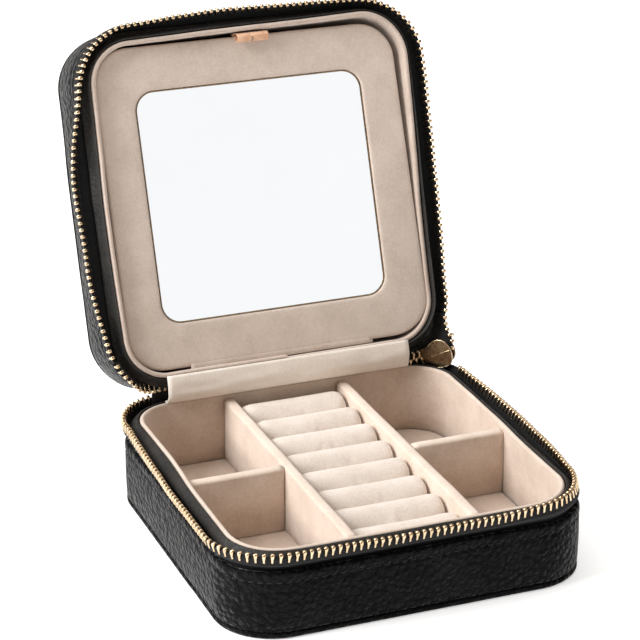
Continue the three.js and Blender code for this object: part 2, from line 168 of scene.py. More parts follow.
def soften(points, passes=2, closed=True):
    """Rounds the corners of a section by cutting each one twice."""
    p = [np.array(q, float) for q in points]
    for _ in range(passes):
        found = []
        count = len(p)
        for i in range(count if closed else count - 1):
            a, b = p[i], p[(i + 1) % count]
            found += [a * 0.75 + b * 0.25, a * 0.25 + b * 0.75]
        if not closed:
            found = [p[0]] + found[1:-1] + [p[-1]]
        p = found
    return [tuple(q) for q in p]


def smooth_line(points, steps):
    """A Catmull-Rom line through points, as an array of steps + 1 places."""
    p = np.array(points, float)
    p = np.vstack([2 * p[0] - p[1], p, 2 * p[-1] - p[-2]])
    spans = len(p) - 3
    found = []
    for k in range(steps + 1):
        at = min(k / steps * spans, spans - 1e-9)
        i = int(at)
        t = at - i
        a, b, c, d = p[i:i + 4]
        found.append(0.5 * (
            2 * b + (c - a) * t + (2 * a - 5 * b + 4 * c - d) * t * t
            + (3 * b - a - 3 * c + d) * t ** 3
        ))
    return np.array(found)


# The outline's stations, by distance along its outside from the middle of the
# back, anticlockwise from above: back, left side, front, right side.
AX = HALF_X - CORNER_R
AY = HALF_Y - CORNER_R
QUARTER = CORNER_R * math.pi / 2
RUNS = [
    (AX, (0, AY), (-AX, AY), 90, 90),
    (QUARTER, (-AX, AY), (-AX, AY), 90, 180),
    (2 * AY, (-AX, AY), (-AX, -AY), 180, 180),
    (QUARTER, (-AX, -AY), (-AX, -AY), 180, 270),
    (2 * AX, (-AX, -AY), (AX, -AY), 270, 270),
    (QUARTER, (AX, -AY), (AX, -AY), 270, 360),
    (2 * AY, (AX, -AY), (AX, AY), 0, 0),
    (QUARTER, (AX, AY), (AX, AY), 0, 90),
    (AX, (AX, AY), (0, AY), 90, 90),
]
PERIMETER = sum(run[0] for run in RUNS)


def station(s):
    """(arc centre, outward direction) at distance s round the outline."""
    s = s % PERIMETER
    for length, a, b, from_deg, to_deg in RUNS:
        if s <= length:
            break
        s -= length
    t = min(s / length, 1.0)
    angle = math.radians(from_deg + (to_deg - from_deg) * t)
    centre = np.array(a, float) * (1 - t) + np.array(b, float) * t
    return centre, np.array([math.cos(angle), math.sin(angle)])


def place(s, inset, z):
    centre, n = station(s)
    x, y = centre + (CORNER_R - inset) * n
    return (x, y, z)


def walk(start, end, spacing=1.4):
    """Distances from start to end with every corner's ends among them."""
    marks = [start, end]
    total = 0
    for run in RUNS:
        total += run[0]
        if start < total < end:
            marks.append(total)
    marks = sorted(set(marks))
    found = []
    for a, b in zip(marks, marks[1:]):
        n = max(1, round((b - a) / spacing))
        found += [a + (b - a) * i / n for i in range(n)]
    return found + [end]


def quads(rings, width, wrap=False, caps=True):
    """Faces between rings of `width` places each, numbered one ring after
    another. wrap joins the last ring to the first; caps closes both ends."""
    faces = []
    for i in range(rings if wrap else rings - 1):
        a, b = i * width, (i + 1) % rings * width
        for j in range(width):
            k = (j + 1) % width
            faces.append((a + j, a + k, b + k, b + j))
    if caps and not wrap:
        last = (rings - 1) * width
        faces.append(tuple(range(width)))
        faces.append(tuple(last + j for j in reversed(range(width))))
    return faces


def sweep(section, distances, closed, shift=None):
    """Verts and faces of a closed (inset, z) section carried along the outline.
    shift(s, inset, z) may move each point a little."""
    rows = distances[:-1] if closed else distances
    verts = []
    for s in rows:
        for inset, z in section:
            verts.append(place(s, *(shift(s, inset, z) if shift else (inset, z))))
    return verts, quads(len(rows), len(section), wrap=closed)


def panel(levels, shift=None, spacing=1.6):
    """Verts and faces of a closed plate: rings at each (inset, z), capped by
    its first and last ring."""
    rows = walk(0, PERIMETER, spacing)[:-1]
    verts = []
    for inset, z in levels:
        for s in rows:
            verts.append(place(s, *(shift(s, inset, z) if shift else (inset, z))))
    return verts, quads(len(levels), len(rows))


def eased(anchors, blur=9):
    """A smooth function of the distance round the outline, through rough
    (distance, value) anchors."""
    places = np.arange(int(PERIMETER) + 2)
    rough = np.interp(places, [a for a, _ in anchors], [b for _, b in anchors])
    kernel = np.hanning(2 * blur + 3)
    smooth = np.convolve(np.pad(rough, blur + 1, mode="edge"), kernel / kernel.sum(), "valid")
    return lambda s: float(np.interp(s % PERIMETER, places, smooth))


# How a used case has gone out of true, in mm: the tapes lean out (or in, where
# negative), the linings and the lid's corner stand in from their outline, and
# the tray's front edge sits low.
BASE_LEAN = eased([
    (67, 0), (87, 1.0), (114, 2.0), (146, 2.0), (176, 1.6), (207, 2.0), (239, 1.4),
    (256, -0.4), (270, -2.4), (281, -1.8), (299, 0.6), (322, 2.2), (345, 2.2), (356, 0),
])
LID_LEAN = eased([
    (64, 0), (72, 1.8), (85, 3.8), (100, 4.0), (118, 5.0), (130, 3.0), (140, 0), (150, -2.0),
    (164, -1.6), (178, 0), (205, 2.0), (240, 1.2), (262, 0.3), (281, 3.6), (293, 3.2),
    (308, 2.6), (338, 1.4), (350, 0.4), (358, 0),
])
BASE_LINING_IN = eased([
    (40, 0.3), (60, 0.8), (75, 1.2), (95, 1.2), (115, 0.2), (146, 0), (252, 0.2),
    (275, 0.9), (299, 1.1), (322, 0.2), (345, 0), (387, 0.3),
])
LID_LINING_IN = eased([
    (50, 0.7), (70, 0.8), (90, 0.2), (110, 0.1), (130, 0.8), (150, 1.1), (176, 0.8),
    (200, 0), (230, -0.3), (255, -1.0), (281, -1.3), (300, -1.1), (330, -0.3), (360, 0),
])
LID_RIM_DROP = eased([(285, 0), (320, 1.4), (345, 2.6), (372, 2.2), (395, 0.6), (410, 0)])
FRONT_LOW = eased([(150, 0), (180, 1.1), (250, 1.1), (275, 0)])
LID_WALL_IN = eased([(90, 0), (120, 0.2), (140, 0.8), (165, 0.8), (185, 0.3), (205, 0)])


def mirror_section(section):
    return [(inset, shut(z)) for inset, z in section]


# ---- material helpers ---------------------------------------------------------
def linear(rgb):
    return tuple(
        (c / 255 / 12.92) if c / 255 <= 0.04045 else ((c / 255 + 0.055) / 1.055) ** 2.4
        for c in rgb
    ) + (1.0,)


class Nodes:
    """A small builder for a Principled material. Its pattern may be
    stretched from front to back."""

    def __init__(self, name, stretch=1.0):
        self.material = bpy.data.materials.new(name)
        self.material.use_nodes = True
        self.tree = self.material.node_tree
        self.shader = self.tree.nodes["Principled BSDF"]
        coordinate = self.tree.nodes.new("ShaderNodeTexCoord")
        scale = self.tree.nodes.new("ShaderNodeMapping")
        scale.inputs["Scale"].default_value = (1 / MM, 1 / stretch / MM, 1 / MM)
        self.link(coordinate.outputs["Object"], scale.inputs["Vector"])
        self.place = scale.outputs["Vector"]

    def link(self, a, b):
        self.tree.links.new(a, b)

    def set(self, **values):
        for key, value in values.items():
            self.shader.inputs[key.replace("_", " ")].default_value = value

    def noise(self, size, detail=2.0, rough=0.5, vector=None):
        node = self.tree.nodes.new("ShaderNodeTexNoise")
        node.inputs["Scale"].default_value = 1 / size
        node.inputs["Detail"].default_value = detail
        node.inputs["Roughness"].default_value = rough
        self.link(vector or self.place, node.inputs["Vector"])
        return node

    def voronoi(self, size, feature, vector=None, smooth=0.6):
        node = self.tree.nodes.new("ShaderNodeTexVoronoi")
        node.feature = feature
        node.inputs["Scale"].default_value = 1 / size
        if feature == "SMOOTH_F1":
            node.inputs["Smoothness"].default_value = smooth
        self.link(vector or self.place, node.inputs["Vector"])
        return node.outputs["Distance"]

    def math(self, operation, a, b=None, clamp=False):
        node = self.tree.nodes.new("ShaderNodeMath")
        node.operation = operation
        node.use_clamp = clamp
        for socket, value in zip(node.inputs, (a, b)):
            if value is None:
                continue
            if isinstance(value, (int, float)):
                socket.default_value = value
            else:
                self.link(value, socket)
        return node.outputs[0]

    def bent(self, amount, size):
        """The place, pushed about by noise so cells aren't regular."""
        push = self.noise(size, 1.0)
        centred = self.tree.nodes.new("ShaderNodeVectorMath")
        centred.operation = "SUBTRACT"
        self.link(push.outputs["Color"], centred.inputs[0])
        centred.inputs[1].default_value = (0.5, 0.5, 0.5)
        grown = self.tree.nodes.new("ShaderNodeVectorMath")
        grown.operation = "SCALE"
        grown.inputs["Scale"].default_value = amount
        self.link(centred.outputs[0], grown.inputs[0])
        moved = self.tree.nodes.new("ShaderNodeVectorMath")
        moved.operation = "ADD"
        self.link(self.place, moved.inputs[0])
        self.link(grown.outputs[0], moved.inputs[1])
        return moved.outputs[0]

    def ramp(self, value, stops):
        node = self.tree.nodes.new("ShaderNodeValToRGB")
        while len(node.color_ramp.elements) < len(stops):
            node.color_ramp.elements.new(0.5)
        for element, (at, color) in zip(node.color_ramp.elements, stops):
            element.position = at
            element.color = color
        self.link(value, node.inputs[0])
        return node.outputs["Color"]

    def grey(self, value, low, high, at=(0.0, 1.0)):
        a = (low, low, low, 1)
        b = (high, high, high, 1)
        return self.ramp(value, [(at[0], a), (at[1], b)])

    def color(self, socket):
        self.link(socket, self.shader.inputs["Base Color"])

    def roughness(self, socket):
        self.link(socket, self.shader.inputs["Roughness"])

    def bump(self, height, distance, strength=1.0, after=None):
        node = self.tree.nodes.new("ShaderNodeBump")
        node.inputs["Strength"].default_value = strength
        node.inputs["Distance"].default_value = distance * MM
        self.link(height, node.inputs["Height"])
        if after is not None:
            self.link(after, node.inputs["Normal"])
        self.link(node.outputs["Normal"], self.shader.inputs["Normal"])
        return node.outputs["Normal"]


def leather(name, dark, light, cell, depth, rough, stretch=1.0):
    """Pebble-grained leather: rounded cells with creases between them."""
    n = Nodes(name, stretch)
    bent = n.bent(0.9 * cell, 2.2 * cell)
    cells = n.voronoi(cell, "SMOOTH_F1", bent, 0.35)
    fine = n.voronoi(cell * 0.45, "SMOOTH_F1", bent, 0.5)
    height = n.math("ADD", n.math("MULTIPLY", cells, -1.0), n.math("MULTIPLY", fine, -0.3))
    pores = n.noise(0.22, 2.0, 0.6)
    first = n.bump(pores.outputs["Fac"], depth * 0.12, 0.5)
    n.bump(height, depth, 1.0, first)
    wear = n.noise(14.0, 3.0, 0.55)
    # The colour is darker in the creases between pebbles and lighter on their tops: partly the grain's own
    # tone, partly painted shade in the creases.
    tone = n.math("ADD", n.math("MULTIPLY", cells, -0.45), wear.outputs["Fac"])
    n.color(n.ramp(tone, [(0.05, dark), (0.7, light)]))
    n.roughness(n.grey(cells, rough - 0.07, rough + 0.16, (0.1, 0.8)))
    return n


def suede_material(name, dark, mid, light):
    """Short-napped microsuede: soft mottling, fine fibre and a pale sheen."""
    n = Nodes(name)
    brushed = n.noise(9.0, 3.0, 0.6)
    nap = n.noise(0.75, 3.0, 0.65)
    fibre = n.noise(0.28, 2.0, 0.6)
    tone = n.math(
        "ADD",
        n.math("MULTIPLY", brushed.outputs["Fac"], 0.4),
        n.math(
            "ADD",
            n.math("MULTIPLY", nap.outputs["Fac"], 0.38),
            n.math("MULTIPLY", fibre.outputs["Fac"], 0.22),
        ),
    )
    n.color(n.ramp(tone, [(0.34, linear(dark)), (0.5, linear(mid)), (0.66, linear(light))]))
    first = n.bump(fibre.outputs["Fac"], 0.08, 0.6)
    n.bump(nap.outputs["Fac"], 0.12, 0.45, first)
    n.set(Roughness=0.95, Sheen_Weight=0.45, Sheen_Roughness=0.65, Specular_IOR_Level=0.1)
    n.shader.inputs["Sheen Tint"].default_value = (1.0, 0.97, 0.94, 1)
    return n.material


def metal(name, deep, bright, rough, spread=0.1):
    n = Nodes(name)
    cloud = n.noise(1.3, 3.0, 0.6)
    n.color(n.ramp(cloud.outputs["Fac"], [(0.3, deep), (0.65, bright)]))
    n.roughness(n.grey(cloud.outputs["Fac"], rough - spread / 2, rough + spread, (0.3, 0.7)))
    scratch = n.noise(0.3, 2.0, 0.7)
    n.bump(scratch.outputs["Fac"], 0.02, 0.35)
    n.set(Metallic=1.0)
    return n.material


def woven(name, dark, light, thread):
    """Woven tape: two sets of diagonal ribs crossing in a fine twill."""
    n = Nodes(name)
    waves = []
    for direction in ("X", "Y", "Z"):
        wave = n.tree.nodes.new("ShaderNodeTexWave")
        wave.bands_direction = direction
        wave.inputs["Scale"].default_value = 1 / thread
        wave.inputs["Distortion"].default_value = 1.2
        wave.inputs["Detail"].default_value = 1.0
        n.link(n.place, wave.inputs["Vector"])
        waves.append(wave.outputs["Fac"])
    height = n.math("ADD", n.math("ADD", waves[0], waves[1]), waves[2])
    fuzz = n.noise(0.25, 2.0, 0.7)
    mixed = n.math("ADD", n.math("MULTIPLY", height, 0.3), n.math("MULTIPLY", fuzz.outputs["Fac"], 0.6))
    n.color(n.ramp(mixed, [(0.3, dark), (1.0, light)]))
    n.bump(mixed, 0.12, 0.8)
    n.set(Roughness=0.86, Sheen_Weight=0.08, Specular_IOR_Level=0.2)
    return n.material


def satin_material(name):
    n = Nodes(name)
    wave = n.tree.nodes.new("ShaderNodeTexWave")
    wave.bands_direction = "X"
    wave.inputs["Scale"].default_value = 1 / 0.35
    wave.inputs["Distortion"].default_value = 0.6
    n.link(n.place, wave.inputs["Vector"])
    cloud = n.noise(2.2, 2.0)
    n.color(n.ramp(cloud.outputs["Fac"], [(0.3, linear((200, 146, 108))), (0.7, linear((232, 190, 156)))]))
    n.bump(wave.outputs["Fac"], 0.03, 0.5)
    n.set(Roughness=0.34, Specular_IOR_Level=0.6, Sheen_Weight=0.3, Anisotropic=0.5)
    return n.material


def mirror_material(name):
    """Silvered glass, with the least unevenness of real plate."""
    n = Nodes(name)
    cloud = n.noise(30.0, 2.0)
    n.color(n.ramp(cloud.outputs["Fac"], [(0.2, (0.93, 0.945, 0.955, 1)), (0.8, (0.95, 0.96, 0.97, 1))]))
    n.roughness(n.grey(cloud.outputs["Fac"], 0.015, 0.03))
    n.set(Metallic=1.0)
    return n.material


shell_nodes = leather(
    "case_leather", (0.0028, 0.0028, 0.0034, 1), (0.0095, 0.0095, 0.0108, 1), 1.7, 0.72, 0.46, 1.5
)
shell_nodes.set(Specular_IOR_Level=0.05, Sheen_Weight=0.23, Sheen_Roughness=0.33)
LEATHER = shell_nodes.material
welt_nodes = leather(
    "welt_leather", (0.016, 0.015, 0.014, 1), (0.046, 0.043, 0.04, 1), 0.8, 0.16, 0.52
)
welt_nodes.set(Specular_IOR_Level=0.3)
WELT = welt_nodes.material
SUEDE = suede_material("suede", (200, 180, 163), (218, 199, 183), (230, 214, 200))
# A darker copy of the divider suede for the tray's lining and floor: painted shade inside the tray.
SUEDE_LINING_PAINTED_SHADE = suede_material(
    "suede_lining_painted_shade", (190, 170, 154), (208, 189, 173), (221, 204, 190)
)
# A still darker copy for the lid's lining and back: painted shade inside the lid.
SUEDE_LID_PAINTED_SHADE = suede_material(
    "suede_lid_lining_painted_shade", (178, 160, 146), (196, 178, 164), (208, 192, 179)
)
# A paler, less warm copy for the ring rolls: painted light on their lit tops.
SUEDE_ROLL_PAINTED_LIGHT = suede_material(
    "suede_roll_painted_light", (202, 188, 175), (218, 206, 195), (230, 219, 209)
)
# The palest copy, for the hinge cloth: painted light on it.
SUEDE_CLOTH_PAINTED_LIGHT = suede_material(
    "suede_cloth_painted_light", (228, 216, 204), (241, 231, 220), (247, 240, 231)
)
# A dimmer copy for the mirror flap's frame, board and strip: painted shade on the flap.
SUEDE_FLAP_PAINTED_SHADE = suede_material(
    "suede_flap_painted_shade", (190, 174, 161), (206, 190, 177), (218, 203, 191)
)
TAPE = woven("zip_tape", (0.003, 0.003, 0.003, 1), (0.014, 0.014, 0.015, 1), 0.9)
GOLD = metal("pale_gold", (0.56, 0.39, 0.22, 1), (0.88, 0.7, 0.48, 1), 0.22)
DARK_GOLD = metal("antique_gold", (0.2, 0.145, 0.085, 1), (0.34, 0.26, 0.17, 1), 0.3)
# Paler, glossier gold for the slider plate's ridge and rim: a painted highlight.
GOLD_EDGE_PAINTED_HIGHLIGHT = metal("gold_edge_painted_highlight", (0.72, 0.56, 0.34, 1), (0.9, 0.76, 0.54, 1), 0.22)
SATIN = satin_material("satin_ribbon")
MIRROR = mirror_material("mirror_glass")
THREAD = woven("black_thread", (0.006, 0.006, 0.006, 1), (0.03, 0.03, 0.032, 1), 0.5)


def finish_piece(obj, body, slot, *nodes):
    if nodes:
        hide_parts(*nodes)
    if body:
        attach(obj, body)
    return obj


def piece(name, mesh, material, body, slot, *nodes, flat=False):
    """A finished piece from (verts, faces). What is drawn on the shut lid is
    turned open with it."""
    verts, faces = mesh
    if body in ("lid", "mirror_flap"):
        verts = to_open(verts)
    return finish_piece(make(name, verts, faces, material, flat), body, slot, *nodes)


# ---- leather shell ------------------------------------------------------------
ROUND_TRIP = walk(0, PERIMETER, 1.3)
STITCH_Z = WALL_TOP - 3.0


def wall_section(bottom, top):
    """The side wall's section: a rolled lower edge, a slight belly, a groove
    for the stitches and a turned-over top edge, which folds in and down."""
    height = top - bottom
    outer = [
        (0.62, bottom),
        (0.2, bottom + 0.12),
        (0.0, bottom + 0.55),
        (-0.12, bottom + 0.3 * height),
        (-0.16, bottom + 0.5 * height),
        (-0.08, top - 4.4),
        (0.02, top - 3.55),
        (0.17, top - 3.2),
        (0.2, top - 3.0),
        (0.17, top - 2.8),
        (0.0, top - 2.45),
        (-0.1, top - 1.6),
        (-0.04, top - 0.8),
        (0.16, top - 0.3),
        (0.5, top - 0.05),
        (0.95, top),
        (1.5, top - 0.1),
        (1.95, top - 0.4),
        (WALL_T, top - 0.9),
    ]
    inner = [(WALL_T, bottom + 3), (WALL_T, bottom)]
    return outer + inner


def wall_shift(seed, pushed_in=None):
    def shift(s, inset, z):
        if pushed_in:
            inset += pushed_in(s)
        edge = 1 - min(max(0.0, (abs(z - PARTING_Z) - 12) / 16), 1.0)
        lift = 0.16 * edge * ripple(s, seed, 17) + 0.05 * edge * ripple(s, seed + 3, 4)
        lean = 0.12 * ripple(s, seed + 5, 23) * edge + 0.05 * ripple(s + 3 * z, seed + 8, 6)
        return max(inset + lean, -0.35) if inset < WALL_T else inset, z + lift
    return shift


base_wall_z = PANEL_T + GAP - FOOT
section = wall_section(base_wall_z, WALL_TOP)
piece(
    "base_leather_wall", sweep(section, ROUND_TRIP, True, wall_shift(1)),
    LEATHER, "base", "leather", "base_side_wall",
)
LID_TOP_Z = shut(-0.1)
lid_wall_z = LID_TOP_Z - PANEL_T - GAP
section = mirror_section(wall_section(shut(lid_wall_z), WALL_TOP))
piece(
    "lid_leather_wall", sweep(section, ROUND_TRIP, True, wall_shift(2, LID_WALL_IN)),
    LEATHER, "lid", "leather", "lid_side_wall",
)


def outer_panel(low, high):
    """The flat outer panel: rolled edge, a little sunk seam round it."""
    return [
        (14, low),
        (3.0, low),
        (1.2, low + 0.04),
        (0.45, low + 0.22),
        (0.08, low + 0.65),
        (0.0, low + 1.05),
        (0.08, high - 0.5),
        (0.4, high - 0.12),
        (0.9, high),
        (14, high),
    ]


def panel_shift(pushed_in=None):
    def shift(s, inset, z):
        if pushed_in:
            inset += pushed_in(s)
        return inset + 0.06 * ripple(s, 11, 9), z
    return shift


piece(
    "base_leather_bottom", panel(outer_panel(-FOOT, PANEL_T - FOOT), panel_shift()),
    LEATHER, "base", "leather", "base_bottom_panel",
)
lid_levels = [(a, LID_TOP_Z - z) for a, z in outer_panel(0.0, PANEL_T)]
piece(
    "lid_leather_top", panel(lid_levels, panel_shift(LID_WALL_IN)),
    LEATHER, "lid", "leather", "lid_top_panel",
)


# ---- stitches --------------------------------------------------------------------
def capsule_ring(length, radius, around=8, along=5):
    """Verts and faces of a small lozenge of thread lying along its x."""
    verts = [(-length / 2, 0, 0)]
    for i in range(along):
        t = -1 + 2 * (i + 0.5) / along
        r = radius * (1 - abs(t) ** 3) ** 0.5
        for k in range(around):
            turn = 2 * math.pi * k / around
            verts.append((t * length / 2, r * math.cos(turn), r * math.sin(turn)))
    verts.append((length / 2, 0, 0))
    faces = []
    for k in range(around):
        j = (k + 1) % around
        faces.append((0, 1 + j, 1 + k))
        for i in range(along - 1):
            a = 1 + i * around
            faces.append((a + k, a + j, a + around + j, a + around + k))
        a = 1 + (along - 1) * around
        faces.append((a + k, a + j, len(verts) - 1))
    return np.array(verts), faces


def along_outline(local, s, inset, z, flip=1, pitch=0.0, lean=0.0):
    """Local (along, outward, up) points set down at distance s, pitched along
    the outline and leaning out from it."""
    centre, n = station(s)
    tangent = np.array([-n[1], n[0]])
    x, y = centre + (CORNER_R - inset) * n
    c, q = math.cos(pitch), math.sin(pitch)
    u = local[:, 0] * c - local[:, 2] * q
    w = local[:, 0] * q + local[:, 2] * c
    out = local[:, 1] * math.cos(lean) + w * math.sin(lean)
    rise = w * math.cos(lean) - local[:, 1] * math.sin(lean)
    return np.column_stack([
        x + u * tangent[0] + out * n[0],
        y + u * tangent[1] + out * n[1],
        z + flip * rise,
    ])


def scatter(local, faces, spots, flip=1):
    """One mesh of many copies. Each spot is (s, inset, z, pitch, lean)."""
    all_verts = []
    all_faces = []
    for s, inset, z, pitch, lean in spots:
        start = len(all_verts) * len(local)
        all_verts.append(along_outline(local, s, inset, z, flip, pitch, lean))
        all_faces += [tuple(start + i for i in face) for face in faces]
    return np.vstack(all_verts), all_faces


STITCH_PITCH = 2.7
stitch, stitch_faces = capsule_ring(1.85, 0.24)
stitch_count = round(PERIMETER / STITCH_PITCH)
for body, seed in (("base", 1), ("lid", 2)):
    shifter = wall_shift(seed, LID_WALL_IN if body == "lid" else None)
    spots = []
    for i in range(stitch_count):
        s = i * PERIMETER / stitch_count
        z = STITCH_Z if body == "base" else shut(STITCH_Z)
        inset, z = shifter(s, 0.14, z)
        spots.append((s, inset, z, 0.1 + 0.05 * ripple(i, 4), 0.0))
    piece(
        f"{body}_wall_stitches", scatter(stitch, stitch_faces, spots),
        THREAD, body, "leather",
    )


# ---- zip tapes ---------------------------------------------------------------------
TAPE_IN = WALL_T + GAP
FLARE_Z = WALL_TOP + 0.3
FLARE_END_Z = 23.7
outer_side = [
    (TAPE_IN, TAPE_FOOT_Z),
    (TAPE_IN, FLARE_Z - 1.2),
    (TAPE_IN - 0.25, FLARE_Z + 0.2),
    (TAPE_IN - 1.5, FLARE_Z + 1.5),
    (ROW_INSET - TAPE_T / 2 + 0.1, FLARE_END_Z - 0.4),
    (ROW_INSET - TAPE_T / 2, FLARE_END_Z + 0.8),
    (ROW_INSET - TAPE_T / 2, TAPE_TOP_Z),
]
tape_line = smooth_line(outer_side, 22)


def thickened(line, thickness):
    """A closed section on both sides of a line; the line is its one side."""
    ahead = np.gradient(line, axis=0)
    ahead /= np.linalg.norm(ahead, axis=1)[:, None]
    off = np.column_stack([ahead[:, 1], -ahead[:, 0]]) * thickness
    return [tuple(p) for p in line] + [tuple(p) for p in (line + off)[::-1]]


tape_section = thickened(tape_line, TAPE_T * 0.8)
BACK_START = 39.5  # where the base's tape starts, from the middle of the back
SLIDER_S = PERIMETER - AX - QUARTER + math.radians(38) * CORNER_R
LID_CUT = math.asin((46 - AY) / CORNER_R) * CORNER_R
LID_START = AX + QUARTER - LID_CUT


PIVOT_INSET = 1.5  # the tape leans about the wall's turned edge
PIVOT_Z = WALL_TOP + 0.8
LEAN_REACH = TAPE_TOP_Z - PIVOT_Z + 1.0


def lean_angle(lean, s):
    return math.asin(max(-0.7, min(0.8, lean(s) / LEAN_REACH)))


def tape_shift(seed, lean):
    def shift(s, inset, z):
        in_lid = z > PARTING_Z
        rise = (shut(z) if in_lid else z) - PIVOT_Z
        if rise > 0:
            turn = lean_angle(lean, s) * min(1.0, rise / 3)
            out = PIVOT_INSET - inset
            inset = PIVOT_INSET - out * math.cos(turn) - rise * math.sin(turn)
            up = PIVOT_Z + rise * math.cos(turn) - out * math.sin(turn)
            z = shut(up) if in_lid else up
        free = min(1.0, max(0.0, 1 - abs(z - PARTING_Z) / 8))
        return inset + 0.16 * free * ripple(s, seed, 11), z + 0.14 * free * ripple(s, seed + 2, 15)
    return shift


base_tape_shift = tape_shift(20, BASE_LEAN)
lid_tape_shift = tape_shift(30, LID_LEAN)


base_run = walk(BACK_START, PERIMETER - BACK_START, 1.3)
base_tape = piece(
    "base_tape_woven", sweep(tape_section, base_run, False, base_tape_shift),
    TAPE, "base", "zip_tape", "base_zip_tape",
)
lid_run = walk(LID_START, PERIMETER - LID_START, 1.3)
lid_tape = piece(
    "lid_tape_woven", sweep(mirror_section(tape_section), lid_run, False, lid_tape_shift),
    TAPE, "lid", "zip_tape", "lid_zip_tape",
)
for tape, run, half in ((base_tape, base_run, "base"), (lid_tape, lid_run, "lid")):
    length = run[-1] - run[0]


# ---- zip teeth -----------------------------------------------------------------------
def inset_polygon(points, distance):
    """The polygon with every side moved inward (the points run anticlockwise)."""
    p = np.array(points, float)
    before = p - np.roll(p, 1, axis=0)
    after = np.roll(p, -1, axis=0) - p
    before /= np.linalg.norm(before, axis=1)[:, None]
    after /= np.linalg.norm(after, axis=1)[:, None]
    normal = np.column_stack([-(before + after)[:, 1], (before + after)[:, 0]])
    normal /= np.linalg.norm(normal, axis=1)[:, None]
    return p + normal * distance


LEG = 0.78  # half a tooth's depth through the tape
SLOT = 0.34
tooth_outline = [
    (-LEG, -1.6), (-LEG + 0.1, -1.88), (-LEG + 0.3, -1.93), (-SLOT, -1.75),
    (-SLOT, -0.06), (SLOT, -0.06),
    (SLOT, -1.75), (LEG - 0.3, -1.93), (LEG - 0.1, -1.88), (LEG, -1.6),
    (LEG, -0.4), (LEG, 0.2), (LEG - 0.08, 0.6), (LEG - 0.3, 0.92), (0.25, 1.08),
    (-0.25, 1.08), (-LEG + 0.3, 0.92), (-LEG + 0.08, 0.6), (-LEG, 0.2), (-LEG, -0.4),
]


def tooth_mesh():
    """One metal tooth that grips the tape's edge with two legs. Local x runs
    along the tape, y through it and z up from the tape's edge; the head
    bulges along x to a small nib."""
    full = np.array(tooth_outline)
    small = inset_polygon(full, 0.13)
    rings = [(small, -1.0), (full, -0.62), (full, 0.62), (small, 1.0)]
    verts = []
    for outline, across in rings:
        for v, w in outline:
            head = min(1.0, max(0.0, (w + 0.5) / 0.9))
            half = 0.31 + 0.13 * head
            lean = 0.16 * head if across > 0 else -0.02 * head
            verts.append((across * half + lean, v, w))
    count = len(full)
    faces = quads(4, count, caps=False)
    flat = [Vector((v, w, 0)) for v, w in small]
    for a, b, c in tessellate_polygon([flat]):
        faces.append((a, b, c))
        faces.append((3 * count + a, 3 * count + c, 3 * count + b))
    return np.array(verts), faces


tooth, tooth_faces = tooth_mesh()
MOUTH_S = SLIDER_S - 6.5  # the row is lost inside the slider from here on


def row_spots(start, end, shifter, lean, offset, z):
    count = int((end - start) / ZIP_PITCH)
    spots = []
    for i in range(count):
        s = start + (i + offset) * ZIP_PITCH
        inset, height = shifter(s, ROW_INSET, z)
        spots.append((s, inset, height, 0.03 * ripple(i, offset + 5, 2), lean_angle(lean, s)))
    return spots


spots = row_spots(BACK_START, MOUTH_S, base_tape_shift, BASE_LEAN, 0.4, TAPE_TOP_Z)
piece(
    "base_zip_row", scatter(tooth, tooth_faces, spots),
    GOLD, "base", "pale_gold", "base_zip_teeth",
)
lid_row_z = shut(TAPE_TOP_Z)
spots = row_spots(LID_START, PERIMETER - LID_START, lid_tape_shift, LID_LEAN, 0.9, lid_row_z)
piece(
    "lid_zip_row", scatter(tooth, tooth_faces, spots, -1),
    GOLD, "lid", "pale_gold", "lid_zip_teeth",
)


# ---- zip tails: the lid's rows come down to the base at both ends -----------------------
def thick(grid, thickness):
    """Verts and faces of the closed solid lying evenly about a grid."""
    normal = np.cross(np.gradient(grid, axis=0), np.gradient(grid, axis=1))
    normal /= np.linalg.norm(normal, axis=2)[:, :, None] + 1e-9
    return closed_grid(grid + normal * thickness / 2, grid - normal * thickness / 2)


def carried(line, feet, thickness, bulge=0.0):
    """The mesh and the grid of a strip between two lines, given thickness. It
    may bulge towards the case's back between them."""
    columns = 7
    grid = np.zeros((len(line), columns, 3))
    for i, (top, foot) in enumerate(zip(line, feet)):
        for j in range(columns):
            t = j / (columns - 1)
            grid[i, j] = top * (1 - t) + foot * t + (0, bulge * math.sin(math.pi * t), 0)
    return thick(grid, thickness), grid


def closed_grid(front, rear):
    """Verts and faces of the closed solid between two like grids."""
    rows, columns = front.shape[:2]
    size = rows * columns
    verts = np.vstack([front.reshape(-1, 3), rear.reshape(-1, 3)])
    faces = []
    for i in range(rows - 1):
        for j in range(columns - 1):
            a = i * columns + j
            faces.append((a, a + 1, a + columns + 1, a + columns))
            faces.append((size + a, size + a + columns, size + a + columns + 1, size + a + 1))
    for i in range(rows - 1):
        for j in (0, columns - 1):
            a = i * columns + j
            faces.append((a, a + columns, size + a + columns, size + a))
    for j in range(columns - 1):
        for i in (0, rows - 1):
            a = i * columns + j
            faces.append((a, a + 1, size + a + 1, size + a))
    return verts, faces


